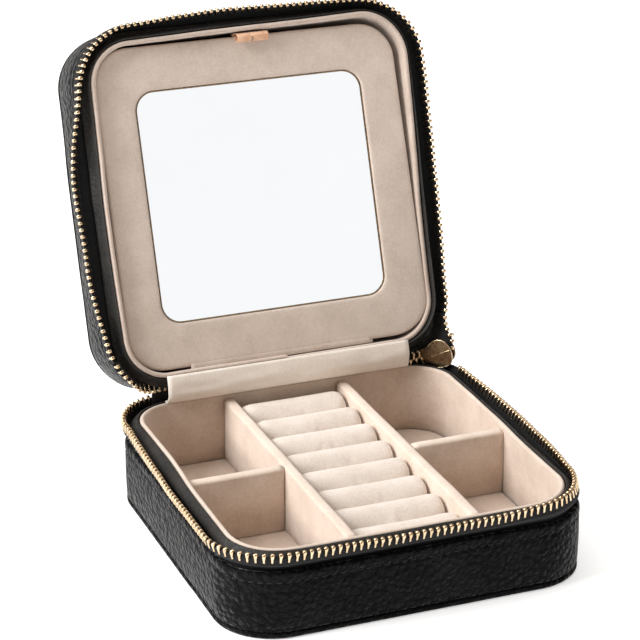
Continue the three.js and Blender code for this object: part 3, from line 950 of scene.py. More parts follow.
def row_on(line, outward_hint, flip, size=1.0):
    """Teeth set along a line in space, their heads pointing along flip."""
    lengths = np.concatenate([[0], np.cumsum(np.linalg.norm(np.diff(line, axis=0), axis=1))])
    count = int(lengths[-1] / ZIP_PITCH)
    verts = []
    faces = []
    for i in range(count):
        at = (i + 0.5) * ZIP_PITCH
        p = np.array([np.interp(at, lengths, line[:, k]) for k in range(3)])
        q = np.array([np.interp(min(at + 0.5, lengths[-1]), lengths, line[:, k]) for k in range(3)])
        o = np.array([np.interp(at - 0.5, lengths, line[:, k]) for k in range(3)])
        ahead = (q - o) / np.linalg.norm(q - o)
        head = np.array(flip(at / lengths[-1]), float)
        head -= ahead * (head @ ahead)
        head /= np.linalg.norm(head)
        out = np.cross(head, ahead) * outward_hint
        start = len(verts) * len(tooth)
        verts.append(p + size * tooth @ np.array([ahead, out, head]))
        faces += [tuple(start + k for k in face) for face in tooth_faces]
    return np.vstack(verts), faces


lid_down = to_open([(0, 0, 0), (0, 0, -1)])
LID_HEAD = lid_down[1] - lid_down[0]  # the way the lid's teeth point, open


def lid_place(s, inset, z):
    return to_open([place(s, inset, z)])[0]


# left: the row follows the lid's corner, then leaves it for the base's row
steps = 26
tail_line = []
tail_feet = []
LEFT_END = np.array([-40.0, 55.2, 30.4])
for i in range(steps + 1):
    t = i / steps
    s = LID_START + (BACK_START - 1.5 - LID_START) * t
    rigid = lid_place(s, ROW_INSET, lid_row_z)
    foot = lid_place(s, TAPE_IN + 0.3, shut(FLARE_Z))
    m = max(0.0, (t - 0.25) / 0.75)
    m = m * m * (3 - 2 * m)
    end = np.array([rigid[0], LEFT_END[1], LEFT_END[2]])
    tail_line.append(rigid * (1 - m) + end * m)
    low = np.array([foot[0], 56.2, 33.0])
    tail_feet.append(foot * (1 - m) + low * m)
tail_line = np.array(tail_line)
tail_feet = np.array(tail_feet)


def blend_lid(obj):
    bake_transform(obj)


def zip_tail(side, line, feet, outward_hint, end_head):
    """A loose end of the lid's tape and its row. Along it the teeth turn from
    the lid's way to end_head."""
    mesh, grid = carried(line, feet, TAPE_T * 0.8)
    tape = piece(f"zip_tail_tape_{side}", mesh, TAPE, None, "zip_tape")
    teeth = row_on(line, outward_hint, lambda t: LID_HEAD * (1 - t) + np.array(end_head) * t)
    row = piece(f"zip_tail_row_{side}", teeth, GOLD, None, "pale_gold")
    for part in (tape, row):
        blend_lid(part)


zip_tail("left", tail_line, tail_feet, -1, (0, -0.2, -1))

# right: the row drops straight into the slider's mouth
MOUTH = np.array([56.3, 47.4, 31.2])
TAIL_STEPS = 16
top_right = lid_place(PERIMETER - LID_START, ROW_INSET, lid_row_z)
foot_top = lid_place(PERIMETER - LID_START, TAPE_IN + 0.3, shut(FLARE_Z))
tail_line = smooth_line([
    top_right, top_right + np.array([0.2, -1.2, -4.2]), MOUTH + np.array([0.5, 0.9, 3.6]), MOUTH,
], TAIL_STEPS)
tail_feet = smooth_line([
    foot_top, foot_top + np.array([-0.2, -1.4, -4.0]), (53.0, 54.6, 35.4), (51.0, 54.6, 32.0),
], TAIL_STEPS)
zip_tail("right", tail_line, tail_feet, 1, (-0.3, -0.5, -0.8))

# the closed stretch of zip behind the slider: both rows meshed on one line
CHAIN_HALF = 0.7  # from the line to either row's root
chain = smooth_line([
    (41.0, 53.0, 27.5), (44.5, 53.2, 27.5), (47.5, 53.6, 27.7), (49.8, 53.5, 28.0),
], 12)
low_verts, low_faces = row_on(chain - np.array([0, 0, CHAIN_HALF]), 1, lambda t: (0, 0, 1))
high_verts, high_faces = row_on(
    chain + np.array([1.06, 0.1, CHAIN_HALF]), 1, lambda t: (0, 0, -1)
)
joined = low_faces + [tuple(len(low_verts) + k for k in f) for f in high_faces]
piece(
    "meshed_zip_row", (np.vstack([low_verts, high_verts]), joined), GOLD, "base", "pale_gold"
)
for name, side in (("lower", -1), ("upper", 1)):
    edge = chain + np.array([0, 0.3, side * CHAIN_HALF])
    far = chain + np.array([0, 1.1, side * 3.6])
    mesh, _ = carried(edge, far, TAPE_T * 0.8)
    piece(f"meshed_tape_{name}", mesh, TAPE, "base", "zip_tape")


# soft leather gussets close the corners beside the hinge
GUSSET_INSET = 0.8
GUSSET_Z = WALL_TOP + 3.0
GUSSET_START = 36  # distance from the middle of the back
GUSSET_T = 0.5
GUSSET_BULGE = 1.1
LID_END_IN = 1.2  # its lid edge stands further in, and higher, than its base edge
LID_END_UP = 0.6
for name, side, reach, lid_reach in (("left", 1, 44, 44), ("right", -1, 56, 62)):
    low_edge = []
    high_edge = []
    for t in np.linspace(0, 1, 22):
        s = side * (GUSSET_START + (reach - GUSSET_START) * t)
        low_edge.append(place(s, GUSSET_INSET, GUSSET_Z))
        s = side * (GUSSET_START + (lid_reach - GUSSET_START) * t)
        high_edge.append(lid_place(s, GUSSET_INSET + LID_END_IN, shut(GUSSET_Z) + LID_END_UP))
    mesh, grid = carried(np.array(low_edge), np.array(high_edge), GUSSET_T, GUSSET_BULGE)
    gusset = piece(f"hinge_gusset_{name}", mesh, WELT, None, "leather")
    blend_lid(gusset)


# ---- welts between lining and tape --------------------------------------------------------
def welt_shift(seed, lining_in):
    def shift(s, inset, z):
        free = 1 if inset < 3.2 else 0.3
        inset += lining_in(s) * min(1.0, max(0.0, (inset - 1.2) / 2)) + 0.1 * free * ripple(s, seed, 9)
        dip = 1.3 * math.exp(-((s - SLIDER_S) / 7) ** 2) if z < PARTING_Z and inset < 3 else 0
        low = FRONT_LOW(s) if WALL_TOP < z < PARTING_Z else 0
        return inset, z - dip - low + 0.12 * free * ripple(s, seed + 2, 13)
    return shift


welt_section = soften([
    (3.5, WALL_TOP + 0.4),
    (3.5, RIM_Z - 0.35),
    (3.3, RIM_Z - 0.02),
    (2.95, RIM_Z - 0.02),
    (2.45, RIM_Z - 0.5),
    (1.9, RIM_Z - 1.35),
    (1.45, RIM_Z - 2.2),
    (1.25, RIM_Z - 2.9),
    (1.45, RIM_Z - 3.3),
    (2.2, RIM_Z - 3.3),
], 2)
piece(
    "base_welt", sweep(welt_section, ROUND_TRIP, True, welt_shift(40, BASE_LINING_IN)),
    WELT, "base", "collar_leather", "base_collar",
)
lid_welt_section = soften([
    (3.5, 36.0),
    (3.5, 29.95),
    (3.35, 29.65),
    (3.15, 29.75),
    (2.85, 31.0),
    (2.35, 32.3),
    (1.7, 33.0),
    (1.32, 33.4),
    (1.6, 33.75),
    (2.4, 34.0),
], 2)
piece(
    "lid_welt", sweep(lid_welt_section, ROUND_TRIP, True, welt_shift(50, LID_LINING_IN)),
    WELT, "lid", "collar_leather", "lid_collar",
)


# ---- suede linings --------------------------------------------------------------------------
def lining_section(low, high):
    """A suede-wrapped wall with a softly rolled rim at `high`."""
    toward = 1 if high > low else -1
    face = LINING_INSET
    rear = LINING_INSET - LINING_T
    mid = (face + rear) / 2
    half = LINING_T / 2
    rim = [(rear, low)]
    for k in range(9):
        turn = math.pi * (1 - k / 8)
        rim.append((mid + half * math.cos(turn), high - toward * half * (1 - math.sin(turn))))
    rim += [(face, low + (high - low) * 0.66), (face + 0.03, low + (high - low) * 0.33), (face, low)]
    return rim


def lining_shift(seed, stands_in):
    def shift(s, inset, z):
        rim = max(0.0, 1 - abs(z - PARTING_Z) / 16)
        inset += stands_in(s) * min(1.0, 1.3 * rim)
        if z < PARTING_Z:
            z -= FRONT_LOW(s) * max(0.0, (z - 10) / 16)
        else:
            z += LID_RIM_DROP(s) * max(0.0, 1 - (z - LID_RIM_Z) / 10)
        return inset + 0.07 * ripple(s, seed, 14) + 0.03 * ripple(s + z, seed + 1, 5), z
    return shift


LID_RIM_Z = 29.4
base_lining = lining_section(base_wall_z, RIM_Z)
piece(
    "tray_lining", sweep(base_lining, ROUND_TRIP, True, lining_shift(60, BASE_LINING_IN)),
    SUEDE_LINING_PAINTED_SHADE, "base", "suede", "tray_lining_wall",
)
lid_lining = lining_section(lid_wall_z, LID_RIM_Z)
piece(
    "lid_lining", sweep(lid_lining, ROUND_TRIP, True, lining_shift(70, LID_LINING_IN)),
    SUEDE_LID_PAINTED_SHADE, "lid", "suede", "lid_lining_wall",
)


def board_levels(edge, low, high, radius=0.5, steps=4):
    """Rings of a suede-covered board with rounded edges top and bottom."""
    levels = [(edge + 8, low)]
    for k in range(steps + 1):
        turn = math.pi / 2 * k / steps
        levels.append((edge + radius * (1 - math.sin(turn)), low + radius * (1 - math.cos(turn))))
    for k in range(steps + 1):
        turn = math.pi / 2 * k / steps
        levels.append((edge + radius * (1 - math.cos(turn)), high - radius * (1 - math.sin(turn))))
    levels.append((edge + 8, high))
    return levels


floor_low, floor_high = box_mm("tray_floor")
piece(
    "tray_floor_suede", panel(board_levels(LINING_INSET + GAP * 0.7, floor_low[2], floor_high[2])),
    SUEDE_LINING_PAINTED_SHADE, "base", "suede", "tray_floor",
)
piece(
    "lid_back_suede", panel(board_levels(LINING_INSET + GAP, lid_wall_z - 1.6, lid_wall_z)),
    SUEDE_LID_PAINTED_SHADE, "lid", "suede", "lid_lining_back",
)


# ---- dividers -------------------------------------------------------------------------------
def wrapped_bar(name, node, along_y, seed):
    """A suede-wrapped board: rounded top, sides a touch hollow, soft ends."""
    low, high = box_mm(node)
    along = 1 if along_y else 0
    half = (high[1 - along] - low[1 - along]) / 2
    middle = (high[1 - along] + low[1 - along]) / 2
    start, end = low[along], high[along]
    z0, z1 = low[2], high[2]
    section = [(-half, z0), (-half + 0.06, (z0 + z1) / 2)]
    top_r = half * 0.72
    for k in range(11):
        turn = math.pi * (1 - k / 10)
        side = half - top_r
        across = math.cos(turn) * top_r + (side if math.cos(turn) > 0 else -side)
        section.append((across, z1 - top_r * 0.8 * (1 - math.sin(turn))))
    section += [(half - 0.06, (z0 + z1) / 2), (half, z0)]
    count = max(8, round((end - start) / 1.5))
    verts = []
    for i in range(count + 1):
        t = i / count
        at = start + (end - start) * t
        near = min(at - start, end - at)
        pinch = 1 - 0.10 * max(0.0, 1 - near / 0.8) ** 2
        for across, z in section:
            free = (z - z0) / (z1 - z0)
            a = across * pinch + 0.1 * free * ripple(at, seed, 16) * min(1.0, near / 6)
            h = z + 0.09 * free * ripple(at, seed + 4, 12) - 0.12 * max(0.0, 1 - near / 0.8) ** 2 * free
            verts.append((middle + a, at, h) if along_y else (at, middle + a, h))
    mesh = verts, quads(count + 1, len(section))
    return piece(name, mesh, SUEDE, "base", "suede", node)


for seed, side in ((80, "left"), (84, "right")):
    wrapped_bar(f"divider_{side}_suede", f"divider_{side}", True, seed)
    wrapped_bar(f"cross_divider_{side}_suede", f"cross_divider_{side}", False, seed + 2)

bed_low, bed_high = box_mm("ring_roll_bed")
bed_rows = 60
ROLL_PITCH = 12.8
bed_verts = []
for i in range(bed_rows + 1):
    y = bed_low[1] + (bed_high[1] - bed_low[1]) * i / bed_rows
    dip = 0.12 * math.cos(y * 2 * math.pi / ROLL_PITCH)
    for x, z in (
        (bed_low[0], bed_low[2]), (bed_low[0], bed_high[2] - 0.3 - dip),
        (bed_low[0] + 0.4, bed_high[2] - 0.1 - dip), (0, bed_high[2] - 0.1 - dip),
        (bed_high[0] - 0.4, bed_high[2] - 0.1 - dip), (bed_high[0], bed_high[2] - 0.3 - dip),
        (bed_high[0], bed_low[2]),
    ):
        bed_verts.append((x, y, z))
piece(
    "ring_roll_bed_suede", (bed_verts, quads(bed_rows + 1, 7)),
    SUEDE, "base", "suede", "ring_roll_bed",
)

# ---- padded ring rolls -------------------------------------------------------------------------
# Each roll starts a little slimmer than its place, is blown up as cloth at a
# larger scale, where cloth behaves, and is then brought back to size.
ROLLS = 8
SIM_SCALE = 25
ROLL_SHRINK = 0.4
ROLL_CAP = 0.6


def roll_start(node):
    low, high = box_mm(node)
    middle = (low[1] + high[1]) / 2
    radius = (high[1] - low[1]) / 2 - ROLL_SHRINK
    crown = high[2] - ROLL_SHRINK
    outline = []
    for k in range(17):
        turn = math.pi * k / 16
        outline.append((middle + radius * math.cos(turn), crown - radius * (1 - math.sin(turn))))
    outline += [(middle - radius, low[2]), (middle + radius, low[2])]
    x0, x1 = low[0] + 0.1, high[0] - 0.3
    columns = 14
    verts = []
    for i in range(columns + 1):
        x = x0 + (x1 - x0) * i / columns
        near = min(x - x0, x1 - x)
        pinch = 1 - 0.035 * max(0.0, 1 - near / 1.6) ** 2
        for y, z in outline:
            verts.append((x, middle + (y - middle) * pinch, low[2] + (z - low[2]) * pinch))
    return verts, quads(columns + 1, len(outline))


def coordinates(mesh):
    found = np.zeros(len(mesh.vertices) * 3)
    mesh.vertices.foreach_get("co", found)
    return found.reshape(-1, 3)


def put_coordinates(mesh, points):
    mesh.vertices.foreach_set("co", np.array(points, float).ravel())
    mesh.update()


def apply_modifiers(obj):
    graph = bpy.context.evaluated_depsgraph_get()
    mesh = bpy.data.meshes.new_from_object(obj.evaluated_get(graph))
    obj.modifiers.clear()
    obj.data = mesh


rolls = []
for i in range(1, ROLLS + 1):
    verts, faces = roll_start(f"ring_roll_{i}")
    roll = make(f"ring_roll_{i}_padded", verts, faces, SUEDE_ROLL_PAINTED_LIGHT)
    put_coordinates(roll.data, coordinates(roll.data) * SIM_SCALE)
    remesh = roll.modifiers.new("remesh", "REMESH")
    remesh.mode = "VOXEL"
    remesh.voxel_size = 0.85 * MM * SIM_SCALE
    apply_modifiers(roll)
    rolls.append(roll)

rests = [coordinates(roll.data) for roll in rolls]
for roll, rest in zip(rolls, rests):
    low_z = rest[:, 2].min()
    pinned = roll.vertex_groups.new(name="pinned")
    grip = [int(k) for k in np.nonzero(rest[:, 2] < low_z + 2.0 * MM * SIM_SCALE)[0]]
    pinned.add(grip, 1.0, "REPLACE")
    cloth = roll.modifiers.new("cloth", "CLOTH")
    cloth.settings.quality = 5
    cloth.settings.mass = 0.3
    cloth.settings.tension_stiffness = 8
    cloth.settings.compression_stiffness = 8
    cloth.settings.shear_stiffness = 5
    cloth.settings.bending_stiffness = 0.6
    cloth.settings.use_pressure = True
    cloth.settings.uniform_pressure_force = 4
    cloth.settings.effector_weights.gravity = 0
    cloth.settings.vertex_group_mass = "pinned"
    cloth.point_cache.frame_start = 1
    cloth.point_cache.frame_end = 20
for step in range(1, 21):
    scene.frame_set(step)
graph = bpy.context.evaluated_depsgraph_get()
blown = [coordinates(roll.evaluated_get(graph).data) for roll in rolls]
for roll, rest, moved in zip(rolls, rests, blown):
    roll.modifiers.clear()
    step = moved - rest
    length = np.linalg.norm(step, axis=1)
    cap = ROLL_CAP * MM * SIM_SCALE
    step *= np.minimum(1.0, cap / np.maximum(length, 1e-9))[:, None]
    put_coordinates(roll.data, rest + step)
scene.frame_set(1)

for i, roll in enumerate(rolls, start=1):
    low, high = box_mm(f"ring_roll_{i}")
    points = coordinates(roll.data) / SIM_SCALE / MM - (0, 0, FOOT)
    points[:, 0] = np.clip(points[:, 0], low[0] + 0.02, high[0] - 0.02)
    points[:, 1] = np.clip(points[:, 1], low[1] - 0.12, high[1] + 0.12)
    points[:, 2] = np.clip(points[:, 2], low[2], high[2] + 0.15)
    put_coordinates(roll.data, (points + (0, 0, FOOT)) * MM)
    even = roll.modifiers.new("even", "SMOOTH")
    even.iterations = 2
    even.factor = 0.5
    finer = roll.modifiers.new("finer", "SUBSURF")
    finer.levels = 1
    finer.render_levels = 1
    apply_modifiers(roll)
    roll.data.polygons.foreach_set("use_smooth", [True] * len(roll.data.polygons))
    finish_piece(roll, "base", "suede", f"ring_roll_{i}")


# ---- hinge cloth, spine and flap strip ------------------------------------------------------------
def hung_sheet(line, x0, x1, thickness, wave, columns=54, trim=None):
    """A sheet that follows a (y, z) line across x, with slight waves."""
    rows = len(line)
    grid = np.zeros((columns + 1, rows, 3))
    for i in range(columns + 1):
        x = x0 + (x1 - x0) * i / columns
        for j, (y, z) in enumerate(line):
            t = j / (rows - 1)
            free = math.sin(math.pi * t)
            grid[i, j] = (x, y + wave * free * ripple(x, 90 + t * 0.6, 15), z)
            if trim:
                grid[i, j, 0] = trim(x, t)
    return thick(grid, thickness)


cloth_low, cloth_high = box_mm("inner_hinge_cloth")
cloth_path = [
    (52.4, 26.75), (50.9, 27.1), (49.5, 28.1), (48.75, 29.8),
    (48.7, 31.8), (49.1, 34.0), (49.9, 36.4),
]
cloth_line = smooth_line(cloth_path, 18)
cloth_right = cloth_high[0] - 0.9  # cut short of the slider's chain
hinge_cloth = piece(
    "hinge_cloth_suede", hung_sheet(cloth_line, cloth_low[0], cloth_right, 0.7, 0.3),
    SUEDE_CLOTH_PAINTED_LIGHT, None, "suede", "inner_hinge_cloth",
)
blend_lid(hinge_cloth)

spine_low, spine_high = box_mm("outer_spine")
spine_path = [
    (55.9, 20.45), (57.6, 21.1), (58.6, 22.6), (58.85, 24.2),
    (58.35, 25.9), (57.3, 27.1), (55.6, 28.0),
]
spine_line = smooth_line(spine_path, 18)
spine = piece(
    "spine_leather", hung_sheet(spine_line, spine_low[0], spine_high[0], 0.9, 0.18),
    LEATHER, None, "leather", "outer_spine",
)
blend_lid(spine)

strip_x = box_mm("flap_hinge_strip")[1][0]
flap_back = HALF_Y - FLAP_INSET
strip_path = [(-2.4, 0.5), (-1.2, 0.3), (-0.3, 0.15), (0.4, 0.2), (0.9, 0.35)]
strip_line = smooth_line([(flap_back + a, FLAP_FACE_Z + b) for a, b in strip_path], 14)
verts, faces = hung_sheet(strip_line, -strip_x, strip_x, 0.45, 0.03, 40)
flap_strip = piece(
    "flap_strip_suede", (to_open(verts), faces), SUEDE_FLAP_PAINTED_SHADE, None, "suede", "flap_hinge_strip"
)
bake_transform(flap_strip)


# ---- mirror flap ---------------------------------------------------------------------------------
def rounded_ring(half_x, half_y, radius, z, per_corner=14, per_side=16):
    """Places round a rounded rectangle, the same number for every size."""
    found = []
    corners = [(1, 1), (-1, 1), (-1, -1), (1, -1)]
    for quarter, (sx, sy) in enumerate(corners):
        cx, cy = sx * (half_x - radius), sy * (half_y - radius)
        for k in range(per_corner + 1):
            turn = math.pi / 2 * (quarter + k / per_corner)
            found.append((cx + radius * math.cos(turn), cy + radius * math.sin(turn), z))
        nx, ny = corners[(quarter + 1) % 4]
        ex, ey = nx * (half_x - radius), ny * (half_y - radius)
        turn = math.pi / 2 * (quarter + 1)
        ox, oy = radius * math.cos(turn), radius * math.sin(turn)
        for k in range(1, per_side):
            t = k / per_side
            found.append((cx + (ex - cx) * t + ox, cy + (ey - cy) * t + oy, z))
    return found


def ring_stack(rings, wrap):
    """Verts and faces joining rings; wrap joins the last ring to the first."""
    return [p for ring in rings for p in ring], quads(len(rings), len(rings[0]), wrap)


FLAP_SPREAD = 1.7
out_x, out_y, out_r = HALF_X - FLAP_INSET, HALF_Y - FLAP_INSET, CORNER_R - FLAP_INSET
win_x, win_y, win_r = WINDOW
face_z = FLAP_FACE_Z
rear_z = FLAP_FACE_Z + FRAME_T


def outer_ring(off, z, spread=0.0):
    """The flap's outline; its right side may spread, most beside the hinge."""
    ring = rounded_ring(out_x - off, out_y - off, out_r - off, z)
    return [
        (x + spread * (0.55 + 0.45 * y / out_y) * max(0.0, x / out_x) ** 6, y, z)
        for x, y, z in ring
    ]


def window_ring(off, z):
    return rounded_ring(win_x + off, win_y + off, win_r + off, z)


frame_rings = [
    outer_ring(0.5, rear_z), outer_ring(0.05, rear_z - 0.35), outer_ring(0.0, face_z + 1.1, 1.2),
    outer_ring(0.12, face_z + 0.5, FLAP_SPREAD), outer_ring(0.4, face_z + 0.16, FLAP_SPREAD),
    outer_ring(0.85, face_z + 0.02, FLAP_SPREAD), outer_ring(1.6, face_z, FLAP_SPREAD),
    outer_ring(4.0, face_z - 0.03), outer_ring(8.0, face_z - 0.03),
    window_ring(1.5, face_z - 0.02), window_ring(0.7, face_z + 0.03), window_ring(0.3, face_z + 0.16),
    window_ring(0.06, face_z + 0.42), window_ring(0.0, face_z + 0.8), window_ring(0.0, rear_z),
]
piece(
    "flap_frame_suede", ring_stack(frame_rings, True),
    SUEDE_FLAP_PAINTED_SHADE, "mirror_flap", "suede", "flap_frame",
)
board_z = rear_z + GAP
board_rings = [
    outer_ring(6.0, board_z), outer_ring(0.4, board_z), outer_ring(0.08, board_z + 0.25),
    outer_ring(0.0, board_z + 0.8), outer_ring(0.1, board_z + 1.25), outer_ring(0.45, board_z + 1.55),
    outer_ring(1.2, board_z + 1.6), outer_ring(6.0, board_z + 1.6),
]
piece(
    "flap_board_suede", ring_stack(board_rings, False),
    SUEDE_FLAP_PAINTED_SHADE, "mirror_flap", "suede", "flap_board",
)
glass = frame["nodes"]["mirror_glass"]
glass.data.materials.clear()
glass.data.materials.append(MIRROR)

# the mirror's ground edge shows as a thin dull line round the window
edge_rings = [
    window_ring(-0.02, face_z + 0.62), window_ring(-0.5, face_z + 0.66),
    window_ring(-0.55, face_z + 0.74), window_ring(-0.02, face_z + 0.76),
]
piece("mirror_bezel_line", ring_stack(edge_rings, True), DARK_GOLD, "mirror_flap", "antique_gold")

# ---- satin ribbon loop -----------------------------------------------------------------------------
ribbon_low, ribbon_high = box_mm("ribbon_loop")
ribbon_y = -(HALF_Y - LINING_INSET) + 0.65
ribbon_path = [
    (-0.1, 2.2), (-0.1, -0.5), (0.1, -2.1), (1.1, -3.15), (2.4, -2.85),
    (2.75, -1.8), (1.7, -0.95), (0.8, -0.7), (0.3, 0.6),
]
ribbon_line = smooth_line([(ribbon_y + a, FLAP_FACE_Z + b) for a, b in ribbon_path], 44)
RIBBON_LEAN = 0.45


def ribbon_trim(x, t):
    """The loop's one end opens wider than the other, and leans."""
    return x + RIBBON_LEAN * math.sin(math.pi * t) * (1 if x < 2 else -0.4)


ribbon = piece(
    "ribbon_loop_satin",
    hung_sheet(ribbon_line, ribbon_low[0], ribbon_high[0], 0.28, 0.1, 20, ribbon_trim),
    SATIN, "mirror_flap", "satin_ribbon", "ribbon_loop",
)

# ---- slider, ring and pull ----------------------------------------------------------------------------
SLIDER_ANGLE = math.radians(38)
SLIDER_LIFT = 1.5  # the lid's tape holds the slider up a little
row_radius = CORNER_R - ROW_INSET
slider_origin = np.array([
    AX + row_radius * math.cos(SLIDER_ANGLE),
    AY + row_radius * math.sin(SLIDER_ANGLE),
    PARTING_Z + SLIDER_LIFT,
])
slider_x = np.array([math.sin(SLIDER_ANGLE), -math.cos(SLIDER_ANGLE), 0])
slider_y = np.array([math.cos(SLIDER_ANGLE), math.sin(SLIDER_ANGLE), 0])
slider_z = np.array([0, 0, 1.0])
WING_TILT = math.radians(29)


def slider_piece(name, mesh, material, *nodes, body="zip_slider", tilt=0.0, flat=False):
    """A piece drawn in the slider's own frame, turned by tilt in its plane."""
    verts, faces = mesh
    p = np.array(verts, float)
    c, s = math.cos(tilt), math.sin(tilt)
    x = p[:, 0] * c - p[:, 2] * s
    z = p[:, 0] * s + p[:, 2] * c
    placed = (
        slider_origin + np.outer(x, slider_x) + np.outer(p[:, 1], slider_y) + np.outer(z, slider_z)
    )
    return piece(name, (placed, faces), material, body, "antique_gold", *nodes, flat=flat)


def bevelled_plate(outline, y0, y1, bevel, ridge=0.0):
    """A plate standing in the slider's x and z, its faces at y0 and y1, with
    bevelled edges. Its y0 face can rise to a lengthwise ridge."""
    full = np.array(outline, float)
    inner = inset_polygon(full, bevel)
    middle = full.mean(axis=0)
    layers = [
        (inner, y0), (full, y0 + bevel * 0.8), (full, y1 - bevel * 0.8), (inner, y1),
    ]
    verts = []
    for ring, y in layers:
        verts += [(x, y, z) for x, z in ring]
    count = len(full)
    faces = quads(4, count, caps=False)
    # the y0 face: a line of ridge points along x, joined to both edges
    start = len(verts)
    xs = inner[:, 0]
    steps = 9
    for k in range(steps + 1):
        x = xs.min() + 0.25 + (xs.max() - xs.min() - 0.5) * k / steps
        fall = 1 - abs(2 * k / steps - 1) ** 4
        verts.append((x, y0 - ridge * fall, middle[1] + 0.1))
    for i in range(count):
        j = (i + 1) % count
        a = min(range(steps + 1), key=lambda k: abs(verts[start + k][0] - inner[i][0]))
        b = min(range(steps + 1), key=lambda k: abs(verts[start + k][0] - inner[j][0]))
        if a == b:
            faces.append((i, j, start + a))
        else:
            step = 1 if b > a else -1
            faces.append((i, j, start + b))
            for k in range(b, a, -step):
                faces.append((i, start + k, start + k - step))
    verts.append((middle[0], y1, middle[1]))
    for i in range(count):
        faces.append((3 * count + i, 3 * count + (i + 1) % count, len(verts) - 1))
    return verts, faces


def shield_outline(down, up):
    """The wing seen square on, anticlockwise from the narrow end's foot."""
    low = smooth_line([
        (-5.8, -0.57 * down), (-4.2, -0.68 * down), (-1.6, -0.88 * down), (1.2, -down),
        (3.5, -0.97 * down), (5.1, -0.7 * down), (6.1, -0.22 * down),
    ], 22)
    high = smooth_line([
        (-5.6, 0.7 * up), (-3.9, 0.71 * up), (-1.9, 0.75 * up), (0, 0.92 * up), (1.8, up),
        (3.9, 0.91 * up), (5.4, 0.6 * up), (6.2, 0.14 * up),
    ], 22)
    return [tuple(p) for p in low] + [tuple(p) for p in high[::-1]]


shield = shield_outline(4.6, 4.75)
slider_piece(
    "slider_inner_plate", bevelled_plate(shield, -2.5, -1.7, 0.22, 0.28),
    DARK_GOLD, "zip_slider_body", tilt=WING_TILT, flat=True,
)
smaller = [(x * 0.86, z * 0.84) for x, z in shield]
slider_piece(
    "slider_outer_plate", bevelled_plate(smaller, 1.15, 1.95, 0.22),
    DARK_GOLD, "zip_slider_body", tilt=WING_TILT, flat=True,
)


def tube(line, radius, around=10, squash=1.0, closed=False):
    """A tube round a line of points, with capped ends unless closed."""
    p = np.array(line, float)
    count = len(p)
    if closed:
        ahead = np.roll(p, -1, axis=0) - np.roll(p, 1, axis=0)
    else:
        ahead = np.gradient(p, axis=0)
    ahead /= np.linalg.norm(ahead, axis=1)[:, None]
    side = np.cross(ahead[0], (0.3, 0.2, 1.0))
    side /= np.linalg.norm(side)
    verts = []
    for i in range(count):
        side -= ahead[i] * (side @ ahead[i])
        side /= np.linalg.norm(side)
        other = np.cross(ahead[i], side)
        for k in range(around):
            turn = 2 * math.pi * k / around
            verts.append(p[i] + radius * (side * math.cos(turn) + other * squash * math.sin(turn)))
    return verts, quads(count, around, wrap=closed)


# a raised line along the inner plate's ridge and round its edge, in paler, glossier gold: a painted
# highlight
ridge_y = -2.5 - 0.32
ridge_line = smooth_line([
    (-5.6, -2.62, 0.05), (-3.4, ridge_y, 0.08), (0.5, ridge_y - 0.02, 0.1),
    (4.0, ridge_y, 0.12), (6.0, -2.62, 0.15),
], 18)
slider_piece("slider_ridge_line", tube(ridge_line, 0.13, 8), GOLD_EDGE_PAINTED_HIGHLIGHT, tilt=WING_TILT)
rim_line = [(x, -2.44, z) for x, z in inset_polygon(shield, 0.06)]
slider_piece(
    "slider_plate_rim", tube(rim_line, 0.17, 8, closed=True), GOLD_EDGE_PAINTED_HIGHLIGHT, tilt=WING_TILT
)
post = [
    (1.0, -0.75), (1.3, -1.0), (3.6, -1.0), (4.0, -0.6),
    (4.0, 0.6), (3.6, 1.0), (1.3, 1.0), (1.0, 0.75),
]
slider_piece(
    "slider_post", bevelled_plate([(x, z * 0.4) for x, z in post], -1.75, 1.2, 0.08),
    DARK_GOLD, flat=True,
)
BAR_Y = 4.8
arch_line = smooth_line([
    (-2.75, 1.7, 0), (-2.75, 3.4, 0), (-2.6, 4.4, 0), (-2.0, 4.8, 0),
    (0, 4.8, 0), (2.0, 4.8, 0), (2.6, 4.4, 0), (2.75, 3.4, 0), (2.75, 1.7, 0),
], 40)
slider_piece("slider_arch", tube(arch_line, 0.45, 12), DARK_GOLD)
RING_R = 2.1
RING_WIRE = 0.4
ring_drop = RING_R - RING_WIRE - math.hypot(0.9, 1.0) / 2 - GAP
ring_line = [
    (0, BAR_Y + RING_R * math.cos(t), -ring_drop + RING_R * math.sin(t))
    for t in np.linspace(0, 2 * math.pi, 48, endpoint=False)
]
slider_piece(
    "pull_ring_wire", tube(ring_line, RING_WIRE, 14, closed=True),
    DARK_GOLD, "zip_pull_ring", body="pull_ring",
)

EYE_R = 1.0
HEAD_R = 1.8
PULL_T = 0.9
PULL_LENGTH = 19
PULL_HALF = 2.6
eye_z = -ring_drop - RING_R - (EYE_R - RING_WIRE - 0.15)


def pull_edge(off):
    """The pull's outside at an inset, by turning round its length."""
    end_z = PULL_HALF - PULL_LENGTH
    right_side = [
        (HEAD_R, 0), (1.86, -2), (2.06, -4.5), (2.38, -8), (PULL_HALF, -12), (PULL_HALF, end_z),
    ]
    line = smooth_line(right_side, 24)
    found = [(HEAD_R * math.cos(t), HEAD_R * math.sin(t)) for t in np.linspace(0, math.pi, 22)[1:-1]]
    found += [(-a, b) for a, b in line]
    found += [
        (PULL_HALF * math.cos(t), end_z + PULL_HALF * math.sin(t))
        for t in np.linspace(math.pi, 2 * math.pi, 28)[1:-1]
    ]
    found += [(a, b) for a, b in line[::-1]]
    return inset_polygon(found, off)


def pull_eye(off):
    """The eye's edge, its places matched to the outside's by direction."""
    outside = pull_edge(0)
    found = []
    for x, z in outside:
        angle = math.atan2(z, x)
        if z < -1.2:
            angle = -math.pi / 2 + math.atan2(x, -z * 0.3 + 0.9)
        found.append(((EYE_R + off) * math.cos(angle), (EYE_R + off) * math.sin(angle)))
    return found


